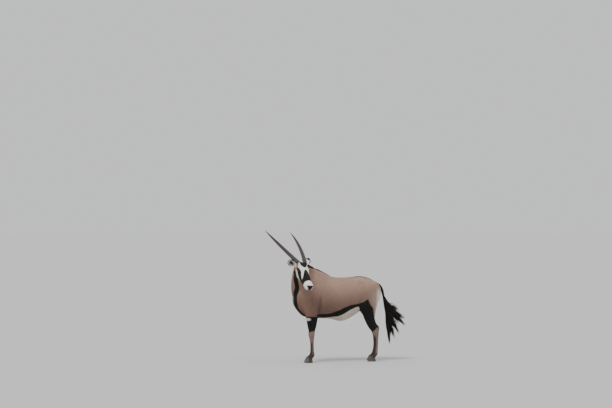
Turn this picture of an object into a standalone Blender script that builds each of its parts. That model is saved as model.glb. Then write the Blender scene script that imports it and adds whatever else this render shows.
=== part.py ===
"""A gemsbok, life size, standing with its head turned to its left.

Metres, +Z up. The body faces -X and its left side is towards -Y. The flesh is built as one whole
from lofts and muscle masses, smoothed, and then parted with thin cuts into torso, neck, head and legs.
"""

import math
import random

import bmesh
import bpy
import numpy as np
from mathutils import Matrix, Vector
from mathutils.bvhtree import BVHTree

# Driving sizes of the animal
TRUNK_LENGTH = 1.178
BREAST_X = -0.60
HORN_LENGTH = 0.85
HORN_RADIUS = 0.028
EAR_LENGTH = 0.172
EYE_RADIUS = 0.0195

# Where the head is held, and how it is turned
FOREHEAD = Vector((-0.600, -0.333, 1.262))
HEAD_YAW = math.radians(92)
HEAD_PITCH = math.radians(44)
HEAD_ROLL = math.radians(-7)

# Feet: places of the fetlocks, fore and hind, left (towards -Y) and right
FORE_SPREAD = 0.115
HIND_SPREAD = 0.122
RIGHT_LEG_BACK = 0.088

# Working sizes
PART_GAP = 0.0003
BODY_VOXEL = 0.0075
HEAD_VOXEL = 0.0036
BODY_TRIANGLES = 4900
HEAD_TRIANGLES = 2000

# Colours, linear, of the coat and horn
FAWN = (0.27, 0.18, 0.14)
BLACK = (0.012, 0.009, 0.007)
PALE = (0.60, 0.55, 0.50)
HORN = (0.045, 0.038, 0.034)
HOOF = (0.03, 0.026, 0.024)
EYE = (0.02, 0.011, 0.007)


# Frames of reference

def head_frame():
    """World matrix of the head: x runs along the face to the nose, y to its left, z out of the face."""
    forward = Vector((-math.cos(HEAD_YAW) * math.cos(HEAD_PITCH),
                      -math.sin(HEAD_YAW) * math.cos(HEAD_PITCH),
                      -math.sin(HEAD_PITCH)))
    level = Vector((math.sin(HEAD_YAW), -math.cos(HEAD_YAW), 0))
    left = level * math.cos(HEAD_ROLL) + forward.cross(level) * math.sin(HEAD_ROLL)
    out = forward.cross(left)
    axes = Matrix((forward, left, out)).transposed().to_4x4()
    return Matrix.Translation(FOREHEAD) @ axes


HEAD = head_frame()


def facing(point, direction, hint=Vector((0, 0, 1))):
    """Matrix at a point whose z axis runs along a direction, with its y axis near a hint."""
    z = Vector(direction).normalized()
    x = Vector(hint).cross(z).normalized()
    y = z.cross(x)
    return Matrix.Translation(Vector(point)) @ Matrix((x, y, z)).transposed().to_4x4()


# Curves and sections

def smooth_rows(rows, count):
    """Rows of numbers read at evenly spaced places along a Catmull-Rom curve through them."""
    rows = np.asarray(rows, float)
    ends = np.vstack([2 * rows[0] - rows[1], rows, 2 * rows[-1] - rows[-2]])
    made = []
    for place in np.linspace(0, len(rows) - 1, count):
        i = min(int(place), len(rows) - 2)
        t = place - i
        a, b, c, d = ends[i:i + 4]
        made.append(0.5 * (2 * b + (c - a) * t + (2 * a - 5 * b + 4 * c - d) * t ** 2
                           + (3 * b - a - 3 * c + d) * t ** 3))
    return np.array(made)


def section(half_width, rise, drop, power, sides):
    """Points (across, up) round a rounded section, starting at its top."""
    made = []
    for k in range(sides):
        angle = 2 * math.pi * k / sides
        c, s = math.cos(angle), math.sin(angle)
        across = half_width * math.copysign(abs(s) ** (2 / power), s)
        up = (rise if c > 0 else drop) * math.copysign(abs(c) ** (2 / power), c)
        made.append((across, up))
    return made


def loft(name, rings, collection):
    """A closed mesh through rings of points, its two ends capped."""
    work = bmesh.new()
    loops = [[work.verts.new(p) for p in ring] for ring in rings]
    sides = len(rings[0])
    for low, high in zip(loops, loops[1:]):
        for k in range(sides):
            work.faces.new((low[k], low[(k + 1) % sides], high[(k + 1) % sides], high[k]))
    work.faces.new(loops[0][::-1])
    work.faces.new(loops[-1])
    bmesh.ops.recalc_face_normals(work, faces=work.faces)
    if work.calc_volume(signed=True) < 0:
        bmesh.ops.reverse_faces(work, faces=work.faces)
    mesh = bpy.data.meshes.new(name)
    work.to_mesh(mesh)
    work.free()
    piece = bpy.data.objects.new(name, mesh)
    collection.objects.link(piece)
    return piece


def tube(name, rows, collection, count=24, sides=20, width_axis=Vector((0, 1, 0))):
    """A loft along a path. Each row is x, y, z, half width, half depth; width runs along width_axis."""
    rows = smooth_rows(rows, count)
    centres = [Vector(r[:3]) for r in rows]
    rings = []
    for i, (centre, row) in enumerate(zip(centres, rows)):
        along = (centres[min(i + 1, count - 1)] - centres[max(i - 1, 0)]).normalized()
        depth = along.cross(width_axis).normalized()
        width = depth.cross(along).normalized()
        rings.append([centre + width * a + depth * b
                      for a, b in section(row[3], row[4], row[4], 2.0, sides)])
    return loft(name, rings, collection)


def mass(name, centre, radii, collection, turn=(0, 0, 0), within=Matrix()):
    """An egg-shaped muscle or bony lump. turn is its rotation about x, y and z in degrees."""
    work = bmesh.new()
    bmesh.ops.create_icosphere(work, subdivisions=4, radius=1)
    spin = Matrix.Identity(4)
    for axis, angle in zip("XYZ", turn):
        spin = Matrix.Rotation(math.radians(angle), 4, axis) @ spin
    work.transform(within @ Matrix.Translation(centre) @ spin @ Matrix.Diagonal((*radii, 1)))
    mesh = bpy.data.meshes.new(name)
    work.to_mesh(mesh)
    work.free()
    piece = bpy.data.objects.new(name, mesh)
    collection.objects.link(piece)
    return piece


def both_sides(make, name, centre, radii, collection, turn=(0, 0, 0), within=Matrix()):
    """The same mass on the left and right of its frame."""
    for side in (-1, 1):
        x, y, z = centre
        rx, ry, rz = turn
        make(f"{name}{side}", (x, side * y, z), radii, collection,
             (side * rx, ry, side * rz), within)


# The whole body, before it is parted

# Trunk stations: share of its length from the breast, top, bottom, half width, widest level
TRUNK = (
    (0.000, 0.880, 0.740, 0.055, 0.80),
    (0.040, 1.000, 0.665, 0.105, 0.83),
    (0.110, 1.130, 0.590, 0.142, 0.86),
    (0.200, 1.200, 0.566, 0.165, 0.86),
    (0.310, 1.160, 0.560, 0.188, 0.84),
    (0.430, 1.096, 0.548, 0.206, 0.82),
    (0.550, 1.080, 0.518, 0.213, 0.81),
    (0.660, 1.084, 0.568, 0.204, 0.82),
    (0.770, 1.094, 0.652, 0.190, 0.88),
    (0.860, 1.074, 0.722, 0.186, 0.92),
    (0.930, 1.030, 0.755, 0.165, 0.90),
    (0.980, 0.970, 0.790, 0.115, 0.88),
    (1.000, 0.930, 0.820, 0.060, 0.88),
)


def trunk(collection):
    """The barrel from breast to buttock."""
    rings = []
    for share, top, bottom, half_width, level in smooth_rows(TRUNK, 44):
        x = BREAST_X + share * TRUNK_LENGTH
        rings.append([(x, across, level + up)
                      for across, up in section(half_width, top - level, level - bottom, 2.15, 40)])
    return loft("trunk", rings, collection)


def neck_lines():
    """Crest and throat of the neck, from the shoulder to the head, and its half widths."""
    nape = HEAD @ Vector((-0.082, 0, -0.068))
    gullet = HEAD @ Vector((0.035, 0, -0.175))
    crest = (Vector((-0.265, 0, 1.165)), Vector((-0.355, 0, 1.200)), Vector((-0.440, -0.060, 1.232)),
             Vector((-0.525, -0.145, 1.258)), nape)
    throat = (Vector((-0.500, 0, 0.680)), Vector((-0.588, -0.004, 0.800)), Vector((-0.620, -0.050, 0.935)),
              Vector((-0.628, -0.120, 1.035)), gullet)
    half_widths = (0.150, 0.133, 0.104, 0.084, 0.072)
    return crest, throat, half_widths


def neck(collection):
    """The neck, deep and flat-sided at the shoulder, bending to the left as it rises."""
    crest, throat, half_widths = neck_lines()
    rows = [(*c, *t, w) for c, t, w in zip(crest, throat, half_widths)]
    rows = smooth_rows(rows, 26)
    middles = [Vector((r[:3] + r[3:6]) / 2) for r in rows]
    rings = []
    for i, row in enumerate(rows):
        upward = Vector(row[:3] - row[3:6])
        along = middles[min(i + 1, 25)] - middles[max(i - 1, 0)]
        across = along.cross(upward).normalized()
        half = upward.length / 2
        upward.normalize()
        rings.append([middles[i] + across * a + upward * u
                      for a, u in section(row[6], half, half, 2.2, 32)])
    return loft("neck", rings, collection)


# Head stations in its own frame: along the face, face line, jaw line, half width, widest level
SKULL = (
    (-0.085, -0.088, -0.125, 0.045, -0.104),
    (-0.050, -0.052, -0.155, 0.063, -0.088),
    (0.000, -0.006, -0.180, 0.071, -0.066),
    (0.045, 0.004, -0.196, 0.072, -0.060),
    (0.085, 0.004, -0.188, 0.070, -0.058),
    (0.130, 0.001, -0.174, 0.061, -0.056),
    (0.190, -0.003, -0.154, 0.053, -0.061),
    (0.250, -0.008, -0.136, 0.049, -0.064),
    (0.295, -0.012, -0.123, 0.050, -0.064),
    (0.335, -0.018, -0.114, 0.0505, -0.063),
    (0.358, -0.026, -0.101, 0.044, -0.062),
    (0.372, -0.040, -0.084, 0.026, -0.060),
)
EYE_PLACE = Vector((0.080, 0.0575, -0.046))
EYE_AXIS = Vector((0.34, 0.90, 0.20))


def skull(collection):
    """The head's main form, its lips, cheeks, brows and the horns' sockets."""
    rings = []
    for along, top, bottom, half_width, level in smooth_rows(SKULL, 44):
        rings.append([HEAD @ Vector((along, across, level + up))
                      for across, up in section(half_width, top - level, level - bottom, 2.25, 36)])
    loft("skull", rings, collection)
    both_sides(mass, "brow", (0.066, 0.050, -0.024), (0.036, 0.018, 0.016), collection, within=HEAD)
    both_sides(mass, "orbit", (0.080, 0.050, -0.046), (0.040, 0.0275, 0.033), collection, within=HEAD)
    both_sides(mass, "masseter", (0.060, 0.036, -0.125), (0.062, 0.030, 0.058), collection,
               turn=(0, 18, 0), within=HEAD)
    both_sides(mass, "nostril_wing", (0.332, 0.025, -0.038), (0.034, 0.0225, 0.020), collection,
               turn=(0, 8, -10), within=HEAD)
    both_sides(mass, "upper_lip", (0.322, 0.027, -0.068), (0.040, 0.0245, 0.020), collection, within=HEAD)
    both_sides(mass, "lower_lip", (0.312, 0.018, -0.098), (0.042, 0.0240, 0.016), collection, within=HEAD)
    mass("nose_pad", (0.350, 0, -0.052), (0.022, 0.026, 0.026), collection, within=HEAD)
    mass("forehead", (0.016, 0, -0.014), (0.050, 0.058, 0.025), collection, within=HEAD)


def stub(name, frame, radius, collar, collection):
    """A short root with a flat top, on which a horn or an ear stands."""
    rings = []
    for along, grow in ((-0.034, 0.30), (-0.020, 0.74), (-0.004, 0.96), (0.5 * collar, 1.02), (collar, 1.0)):
        rings.append([frame @ Vector((a, u, along))
                      for a, u in section(radius * grow, radius * grow, radius * grow, 2, 14)])
    return loft(name, rings, collection)


# Leg rows: x forward of the leg's own upright is negative, z, half width across, half depth
FORE_LEG = (
    (-0.085, 0.860, 0.040, 0.095),
    (-0.040, 0.740, 0.050, 0.105),
    (-0.002, 0.640, 0.050, 0.094),
    (0.002, 0.560, 0.045, 0.079),
    (0.002, 0.470, 0.038, 0.061),
    (0.000, 0.395, 0.031, 0.043),
    (-0.002, 0.350, 0.032, 0.041),
    (0.000, 0.305, 0.026, 0.032),
    (0.004, 0.240, 0.0185, 0.0250),
    (0.006, 0.165, 0.0180, 0.0240),
    (0.008, 0.122, 0.0230, 0.0290),
    (0.006, 0.100, 0.0260, 0.0320),
    (-0.012, 0.074, 0.0240, 0.0280),
    (-0.028, 0.054, 0.0262, 0.0340),
    (-0.046, 0.032, 0.0270, 0.0380),
)
FORE_LEG_X = -0.398

HIND_LEG = (
    (-0.085, 0.930, 0.060, 0.135),
    (-0.105, 0.800, 0.070, 0.140),
    (-0.108, 0.700, 0.066, 0.118),
    (-0.098, 0.620, 0.053, 0.090),
    (-0.085, 0.540, 0.041, 0.066),
    (-0.050, 0.460, 0.034, 0.058),
    (-0.018, 0.410, 0.032, 0.052),
    (-0.004, 0.355, 0.028, 0.040),
    (0.000, 0.280, 0.0215, 0.0290),
    (-0.002, 0.180, 0.0205, 0.0265),
    (-0.008, 0.128, 0.0250, 0.0300),
    (-0.012, 0.102, 0.0275, 0.0330),
    (-0.032, 0.074, 0.0245, 0.0285),
    (-0.050, 0.054, 0.0262, 0.0340),
    (-0.068, 0.032, 0.0270, 0.0380),
)
HIND_LEG_X = 0.488


def leg(name, rows, x, shift, y, collection):
    """One leg as a tube from inside the trunk down to inside the hoof, shifted back below the trunk."""
    placed = [(x + dx + shift * min(1.0, max(0.0, (0.90 - z) / 0.24)), y, z, half_width, depth)
              for dx, z, half_width, depth in rows]
    return tube(name, placed, collection, count=64, sides=24)


def leg_places():
    """Each leg's name, rows, upright's x, how far back the foot is set, and its y."""
    return (
        ("leg_front_left", FORE_LEG, FORE_LEG_X, 0.0, -FORE_SPREAD),
        ("leg_front_right", FORE_LEG, FORE_LEG_X, RIGHT_LEG_BACK, FORE_SPREAD),
        ("leg_hind_left", HIND_LEG, HIND_LEG_X, 0.0, -HIND_SPREAD),
        ("leg_hind_right", HIND_LEG, HIND_LEG_X, RIGHT_LEG_BACK, HIND_SPREAD),
    )


def leg_muscles(collection):
    """Shoulder, haunch, knee and hock forms on each leg's own upright."""
    for name, _, x, shift, y in leg_places():
        side = math.copysign(1, y)
        x += shift
        if "front" in name:
            mass(name + "blade", (FORE_LEG_X + 0.010, side * 0.108, 0.975), (0.095, 0.056, 0.205),
                 collection, turn=(side * 6, -20, 0))
            mass(name + "point", (FORE_LEG_X - 0.105, side * 0.085, 0.835), (0.075, 0.062, 0.095),
                 collection)
            mass(name + "triceps", (FORE_LEG_X + 0.042, side * 0.128, 0.790), (0.088, 0.050, 0.130),
                 collection, turn=(0, 14, 0))
            mass(name + "elbow", (x + 0.050, y, 0.648), (0.040, 0.034, 0.045), collection)
            mass(name + "knee", (x - 0.014, y, 0.352), (0.030, 0.031, 0.038), collection)
        else:
            mass(name + "haunch", (HIND_LEG_X - 0.078, side * 0.100, 0.868), (0.150, 0.082, 0.180),
                 collection, turn=(side * -6, 14, 0))
            mass(name + "hip", (HIND_LEG_X - 0.222, side * 0.118, 1.020), (0.075, 0.050, 0.036),
                 collection, turn=(side * -30, 8, 0))
            mass(name + "stifle", (HIND_LEG_X - 0.196, side * 0.122, 0.730), (0.060, 0.050, 0.085),
                 collection, turn=(0, -12, 0))
            mass(name + "hock", (x + 0.018, y, 0.425), (0.026, 0.024, 0.046), collection, turn=(0, -10, 0))


# Dock rows: x, y, z, half width, half depth
DOCK = (
    (0.480, 0.000, 1.010, 0.040, 0.030),
    (0.566, 0.000, 0.972, 0.032, 0.028),
    (0.618, 0.000, 0.905, 0.025, 0.023),
    (0.640, 0.000, 0.825, 0.021, 0.019),
    (0.652, 0.000, 0.735, 0.019, 0.017),
    (0.668, 0.000, 0.640, 0.016, 0.015),
    (0.700, 0.002, 0.545, 0.011, 0.011),
)
TAIL_CUT = Vector((0.621, 0, 0.894))

# The tuft's strands: how far down the dock each is rooted, the x and z of its tip, sag and locks
STRANDS = (
    (0.60, 0.852, 0.678, 0.080, 4),
    (0.68, 0.955, 0.547, 0.055, 5),
    (0.76, 0.962, 0.457, 0.015, 5),
    (0.84, 0.866, 0.342, -0.035, 5),
    (0.92, 0.797, 0.284, -0.030, 5),
    (0.99, 0.724, 0.206, 0.000, 6),
)
STRAND_SPREAD = 0.040
STRAND_LOCK = (0.0175, 0.0070)
LOCK_ROWS = ((0.0, 0.62), (0.28, 1.0), (0.62, 0.78), (0.86, 0.40), (1.0, 0.09))

# The mane: locks along the crest of the neck
MANE_LOCKS = 26
MANE_LENGTH = 0.054
MANE_LOCK = (0.0125, 0.0042)
MANE_ROWS = ((0.0, 0.8), (0.45, 1.0), (0.82, 0.55), (1.0, 0.10))


def lock(name, rows, root, bend, tip, size, facing_way, collection):
    """A flat lock of four sides that leaves its root, bends and tapers to its tip."""
    half_width, half_depth = size
    rings = []
    for share, grow in rows:
        point = root * (1 - share) ** 2 + bend * 2 * share * (1 - share) + tip * share ** 2
        along = (bend - root) * (1 - share) + (tip - bend) * share
        across = along.cross(facing_way).normalized()
        out = across.cross(along).normalized()
        rings.append([point + across * a * half_width * grow + out * b * half_depth * grow
                      for a, b in ((1, 0), (0, 1), (-1, 0), (0, -1))])
    return loft(name, rings, collection)


def tuft_locks(collection):
    """The tail's long hair, in strands that sweep back from the dock and droop to its end."""
    draw = random.Random(11)
    dock = smooth_rows(DOCK, 60)
    for low, x, z, sag, count in STRANDS:
        for k in range(count):
            share = min(max(low + draw.uniform(-0.10, 0.06), 0.4), 0.99)
            root = Vector(dock[int(share * 59)][:3])
            tip = Vector((x, draw.uniform(-0.5, 0.5) * STRAND_SPREAD, z))
            tip += Vector((draw.uniform(-1.2, 0.1), 0, draw.uniform(-1, 1))) * (0.026 if k else 0.0)
            bend = (root + tip) / 2 - Vector((0, 0, sag + draw.uniform(-0.012, 0.012)))
            bend.y = root.y + draw.uniform(-0.8, 0.8) * STRAND_SPREAD
            way = Vector((draw.uniform(-0.35, 0.35), 1, draw.uniform(-0.35, 0.35)))
            lock("strand", LOCK_ROWS, root, bend, tip, STRAND_LOCK, way, collection)


def mane_locks(collection):
    """Short, stiff hair along the crest of the neck, leaning back, in two staggered rows."""
    draw = random.Random(5)
    crest, throat, _ = neck_lines()
    rows = smooth_rows([(*c, *t) for c, t in zip(crest, throat)], 200)
    for k in range(MANE_LOCKS):
        row = rows[int(199 * (0.27 + 0.70 * (k + 0.5) / MANE_LOCKS))]
        ahead = rows[min(int(199 * (0.27 + 0.70 * (k + 1.5) / MANE_LOCKS)), 199)]
        top, out = Vector(row[:3]), Vector(row[:3] - row[3:6]).normalized()
        back = (top - Vector(ahead[:3])).normalized()
        side = out.cross(back).normalized()
        root = top - out * 0.016 + side * (0.0045 if k % 2 else -0.0045)
        length = MANE_LENGTH * draw.uniform(0.9, 1.1) * min(1.0, 0.70 + 0.06 * k)
        tip = root + out * length * 0.52 + back * length * 0.78 + side * draw.uniform(-0.005, 0.005)
        bend = root + out * length * 0.50 + back * length * 0.15
        lock("mane", MANE_ROWS, root, bend, tip, MANE_LOCK, side, collection)



# Mesh work

def join(name, collection):
    """All of a collection's pieces as one mesh object, still crossing one another."""
    work = bmesh.new()
    for piece in list(collection.objects):
        work.from_mesh(piece.data)
        bpy.data.objects.remove(piece)
    mesh = bpy.data.meshes.new(name)
    work.to_mesh(mesh)
    work.free()
    whole = bpy.data.objects.new(name, mesh)
    bpy.context.scene.collection.objects.link(whole)
    return whole


def bake(piece):
    """Applies a piece's modifiers."""
    bpy.context.view_layer.update()
    graph = bpy.context.evaluated_depsgraph_get()
    made = bpy.data.meshes.new_from_object(piece.evaluated_get(graph))
    piece.modifiers.clear()
    piece.data = made
    return piece


def fuse(piece, voxel):
    """One closed skin round everything in the piece."""
    remesh = piece.modifiers.new("skin", "REMESH")
    remesh.mode = "VOXEL"
    remesh.voxel_size = voxel
    return bake(piece)


def points_of(mesh):
    flat = np.empty(len(mesh.vertices) * 3)
    mesh.vertices.foreach_get("co", flat)
    return flat.reshape(-1, 3)


def relax(piece, rounds, push_back=0.53, weight=None):
    """Rounds the creases between forms. With push_back the whole keeps its size."""
    mesh = piece.data
    points = points_of(mesh)
    ends = np.empty(len(mesh.edges) * 2, int)
    mesh.edges.foreach_get("vertices", ends)
    a, b = ends.reshape(-1, 2).T
    count = len(points)
    neighbours = np.bincount(a, minlength=count) + np.bincount(b, minlength=count)
    share = np.ones(count) if weight is None else weight(points)
    for _ in range(rounds):
        for step in (0.5, -push_back) if push_back else (0.5,):
            mean = np.stack([np.bincount(a, points[b, k], count) + np.bincount(b, points[a, k], count)
                             for k in range(3)], 1) / neighbours[:, None]
            points = points + (step * share)[:, None] * (mean - points)
    mesh.vertices.foreach_set("co", points.ravel())
    mesh.update()
    return piece


def thin_out(piece, triangles):
    """Fewer, larger triangles, kept where the form bends most."""
    piece.data.calc_loop_triangles()
    modifier = piece.modifiers.new("thin", "DECIMATE")
    modifier.ratio = triangles / len(piece.data.loop_triangles)
    modifier.use_collapse_triangulate = True
    return bake(piece)


def boolean(piece, cutter, operation, solver="EXACT"):
    modifier = piece.modifiers.new("cut", "BOOLEAN")
    modifier.operation = operation
    modifier.solver = solver
    modifier.object = cutter
    return bake(piece)


def fuse_with(piece, forms, solver="MANIFOLD"):
    """One union of the piece with every closed form in a collection, whose objects then go."""
    modifier = piece.modifiers.new("fuse", "BOOLEAN")
    modifier.operation = "UNION"
    modifier.solver = solver
    modifier.operand_type = "COLLECTION"
    modifier.collection = forms
    bake(piece)
    for form in list(forms.objects):
        bpy.data.objects.remove(form)
    bpy.data.collections.remove(forms)
    return piece


def copy_of(piece, name):
    twin = bpy.data.objects.new(name, piece.data.copy())
    bpy.context.scene.collection.objects.link(twin)
    return twin


def block(frame, size, gap=0.0):
    """A cutting box whose bottom face lies on the frame's xy plane, lowered by gap."""
    work = bmesh.new()
    bmesh.ops.create_cube(work, size=1)
    lift = Matrix.Translation((0, 0, size[2] / 2 - gap))
    work.transform(frame @ lift @ Matrix.Diagonal((*size, 1)))
    mesh = bpy.data.meshes.new("block")
    work.to_mesh(mesh)
    work.free()
    cutter = bpy.data.objects.new("block", mesh)
    bpy.context.scene.collection.objects.link(cutter)
    return cutter


def part_off(whole, name, frame, size):
    """Cuts what lies in a box off the whole, with a thin gap at the box's bottom face."""
    piece = copy_of(whole, name)
    inner, outer = block(frame, size), block(frame, size, PART_GAP)
    boolean(piece, inner, "INTERSECT")
    boolean(whole, outer, "DIFFERENCE")
    for cutter in (inner, outer):
        bpy.data.objects.remove(cutter)
    return keep_largest(piece)


def keep_largest(piece):
    """Drops every closed surface of the piece but the largest."""
    work = bmesh.new()
    work.from_mesh(piece.data)
    bmesh.ops.remove_doubles(work, verts=work.verts, dist=1e-6)
    unseen, groups = set(work.verts), []
    while unseen:
        edge, group = [unseen.pop()], []
        while edge:
            vert = edge.pop()
            group.append(vert)
            for link in vert.link_edges:
                other = link.other_vert(vert)
                if other in unseen:
                    unseen.discard(other)
                    edge.append(other)
        groups.append(group)
    groups.sort(key=len)
    for group in groups[:-1]:
        bmesh.ops.delete(work, geom=group, context="VERTS")
    bmesh.ops.triangulate(work, faces=work.faces)
    work.to_mesh(piece.data)
    work.free()
    return piece


def paint(piece, name, colour, roughness=0.8):
    """Gives a piece its own material and smooth shading."""
    material = bpy.data.materials.new(name)
    material.use_nodes = True
    shader = material.node_tree.nodes["Principled BSDF"]
    shader.inputs["Base Color"].default_value = (*colour, 1)
    shader.inputs["Roughness"].default_value = roughness
    piece.data.materials.clear()
    piece.data.materials.append(material)
    piece.data.shade_smooth()
    piece.data.set_sharp_from_angle(angle=math.radians(50))


def scratch(name):
    made = bpy.data.collections.new(name)
    bpy.context.scene.collection.children.link(made)
    return made


# Horns, ears, eyes and claws

HORN_ROOT = Vector((-0.016, 0.039, -0.014))
HORN_BACK = (math.radians(12.1), math.radians(19.2))
HORN_SPLAY = (math.radians(16.7), math.radians(2.8))
HORN_COLLAR = 0.013
HORN_RIDGES = 15
RIDGED_SHARE = 0.50
EAR_ROOT = Vector((-0.038, 0.056, -0.080))
EAR_COLLAR = {1: 0.048, -1: 0.024}
EAR_RADIUS = 0.0165


def horn_direction(side, share):
    """Which way a horn runs, as a share of its length, in the head's frame."""
    back = HORN_BACK[0] + (HORN_BACK[1] - HORN_BACK[0]) * share
    splay = HORN_SPLAY[0] + (HORN_SPLAY[1] - HORN_SPLAY[0]) * share
    return Vector((-math.cos(back) * math.cos(splay), side * math.sin(splay),
                   -math.sin(back) * math.cos(splay)))


def ear_frame(side):
    """The left ear is pricked, the right one is turned out. z runs to the tip, the cup faces y."""
    if side > 0:
        direction, cup = Vector((-0.78, 0.60, 0.08)), Vector((0.0, -0.05, 1.0))
    else:
        direction, cup = Vector((0.20, -0.80, 0.55)), Vector((0.93, 0.10, 0.36))
    return HEAD @ facing(side_place(EAR_ROOT, side), direction, cup)


def side_place(place, side):
    return Vector((place.x, side * place.y, place.z))


def horn_frame(side):
    root = side_place(HORN_ROOT, side)
    return HEAD @ facing(root, horn_direction(side, 0), Vector((0, 0, 1)))


def build_horn(side, play=0.0):
    """A long, slightly curved horn, ringed along its lower half and smooth to its sharp tip."""
    ridged = HORN_RIDGES * 2 + 1
    shares = [0.012 + RIDGED_SHARE * k / (ridged - 1) for k in range(ridged)]
    shares = [0.0] + shares + list(np.linspace(shares[-1], 1.0, 12)[1:])
    frame = horn_frame(side)
    point = frame @ Vector((0, 0, HORN_COLLAR + PART_GAP))
    rings, previous = [], 0.0
    for k, share in enumerate(shares):
        steps = 4
        for step in range(steps):
            middle = previous + (share - previous) * (step + 0.5) / steps
            way = HEAD.to_3x3() @ horn_direction(side, middle)
            point = point + way * (HORN_LENGTH * (share - previous) / steps)
        previous = share
        radius = HORN_RADIUS * (1 - 0.42 * share - 0.50 * share ** 4)
        if share == 1.0:
            radius = 0.0012
        ridge = 0 < k <= ridged and k % 2 == 0
        radius *= 1.0 + (0.055 if ridge else -0.030) * (1 - share / RIDGED_SHARE * 0.6) * (0 < k <= ridged)
        radius += play
        turned = facing(point, HEAD.to_3x3() @ horn_direction(side, share), HEAD.col[2].to_3d())
        if k == 0:
            turned = Matrix.Translation(point) @ frame.to_3x3().to_4x4()
        rings.append([turned @ Vector((a, b, 0)) for a, b in section(radius, radius, radius, 2, 10)])
    return loft("horn", rings, bpy.context.scene.collection)


# Ear rows: share of its length, half width, depth of the cup, lean back of the centre line
EAR_SHAPE = (
    (0.00, EAR_RADIUS, EAR_RADIUS, 0.000),
    (0.10, 0.0205, 0.019, 0.002),
    (0.24, 0.031, 0.022, 0.006),
    (0.42, 0.0415, 0.022, 0.012),
    (0.60, 0.0445, 0.019, 0.018),
    (0.78, 0.0365, 0.014, 0.022),
    (0.92, 0.0190, 0.008, 0.022),
    (1.00, 0.003, 0.003, 0.020),
)


def build_ear(side):
    """A cupped leaf on a solid root."""
    frame = ear_frame(side)
    spread = math.radians(104)
    arc = 8
    rings = []
    for share, width, depth, lean in smooth_rows(EAR_SHAPE, 13):
        hollow = min(1.0, max(0.0, (share - 0.05) / 0.16)) * min(1.0, (1.0 - share) / 0.06)
        thick = 0.0042 - 0.0016 * share
        height = EAR_COLLAR[side] + PART_GAP + share * EAR_LENGTH
        back, front = [], []
        for k in range(arc):
            angle = -spread + 2 * spread * k / (arc - 1)
            back.append((width * math.sin(angle), -depth * math.cos(angle)))
            inner = max(width - thick, 0.0006), max(depth - thick, 0.0006)
            closed = spread + (2 * math.pi - 2 * spread) * (k + 1) / (arc + 1)
            shut = (width * math.sin(closed), -depth * math.cos(closed))
            cup = (-inner[0] * math.sin(angle) * 0.985, -inner[1] * math.cos(angle) + 0.001)
            front.append((shut[0] + (cup[0] - shut[0]) * hollow, shut[1] + (cup[1] - shut[1]) * hollow))
        rings.append([frame @ Vector((a, b - lean, height)) for a, b in back + front])
    return loft("ear", rings, bpy.context.scene.collection)


def ball(name, centre, radius, subdivisions=3):
    work = bmesh.new()
    bmesh.ops.create_icosphere(work, subdivisions=subdivisions, radius=radius)
    work.transform(Matrix.Translation(centre))
    mesh = bpy.data.meshes.new(name)
    work.to_mesh(mesh)
    work.free()
    made = bpy.data.objects.new(name, mesh)
    bpy.context.scene.collection.objects.link(made)
    return made


def eye_frame(side):
    return HEAD @ facing(side_place(EYE_PLACE, side), side_place(EYE_AXIS, side), Vector((0, 0, 1)))


LID_THICK = 0.0038
SOCKET_PLAY = 0.0005
EYE_OPENING = (0.0160, 0.0098)


def cut_eye(head, side):
    """Lids round an eye's socket, parted by an almond opening."""
    frame = eye_frame(side)
    centre = frame.translation
    lids = ball("lids", centre, EYE_RADIUS + LID_THICK)
    boolean(head, lids, "UNION")
    socket = ball("socket", centre, EYE_RADIUS + SOCKET_PLAY)
    boolean(head, socket, "DIFFERENCE")
    outline = []
    for k in range(16):
        angle = 2 * math.pi * k / 16
        across = math.cos(angle)
        up = math.sin(angle) * (1 - 0.35 * across * across)
        outline.append((EYE_OPENING[0] * across, EYE_OPENING[1] * up + 0.001))
    rings = [[frame @ Vector((a * (1 + grow), b * (1 + grow), z)) for a, b in outline]
             for z, grow in ((0.006, 0.0), (0.040, 0.25))]
    almond = loft("almond", rings, bpy.context.scene.collection)
    boolean(head, almond, "DIFFERENCE")
    for cutter in (lids, socket, almond):
        bpy.data.objects.remove(cutter)


# Mouth line: a corner of the lips and the front of the side's run, along the face and below it
MOUTH_CORNER = (0.256, -0.091)
MOUTH_TURN = (0.316, -0.083)


def skin_tree(piece):
    return BVHTree.FromPolygons([v.co.copy() for v in piece.data.vertices],
                                [tuple(f.vertices) for f in piece.data.polygons])


def cut_mouth(head):
    """A narrow groove between the lips, from one corner round the front to the other."""
    tree = skin_tree(head)
    line = []
    for k in range(-14, 15):
        side = math.copysign(1, k)
        share = abs(k)
        if share > 9:
            run = (share - 9) / 5
            along = MOUTH_TURN[0] + (MOUTH_CORNER[0] - MOUTH_TURN[0]) * run
            below = MOUTH_TURN[1] + (MOUTH_CORNER[1] - MOUTH_TURN[1]) * run
            middle, way = Vector((along, 0, below)), Vector((0, side, 0))
        else:
            angle = math.radians(10 * share)
            middle = Vector((MOUTH_TURN[0], 0, MOUTH_TURN[1]))
            way = Vector((math.cos(angle), side * math.sin(angle), 0))
        hit = tree.ray_cast(HEAD @ (middle + way * 0.15), HEAD.to_3x3() @ -way)[0]
        line.append(hit)
    line = [(line[max(k - 1, 0)] + line[k] * 2 + line[min(k + 1, 28)]) / 4 for k in range(29)]
    rings = []
    for k, point in enumerate(line):
        along = line[min(k + 1, 28)] - line[max(k - 1, 0)]
        frame = facing(point, along, HEAD.col[2].to_3d())
        fade = min(1.0, 0.4 + 0.2 * min(k, 28 - k))
        rings.append([frame @ Vector((a, b, 0))
                      for a, b in section(0.0040 * fade, 0.0021 * fade, 0.0021 * fade, 2, 6)])
    groove = loft("groove", rings, bpy.context.scene.collection)
    boolean(head, groove, "DIFFERENCE")
    bpy.data.objects.remove(groove)


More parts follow.
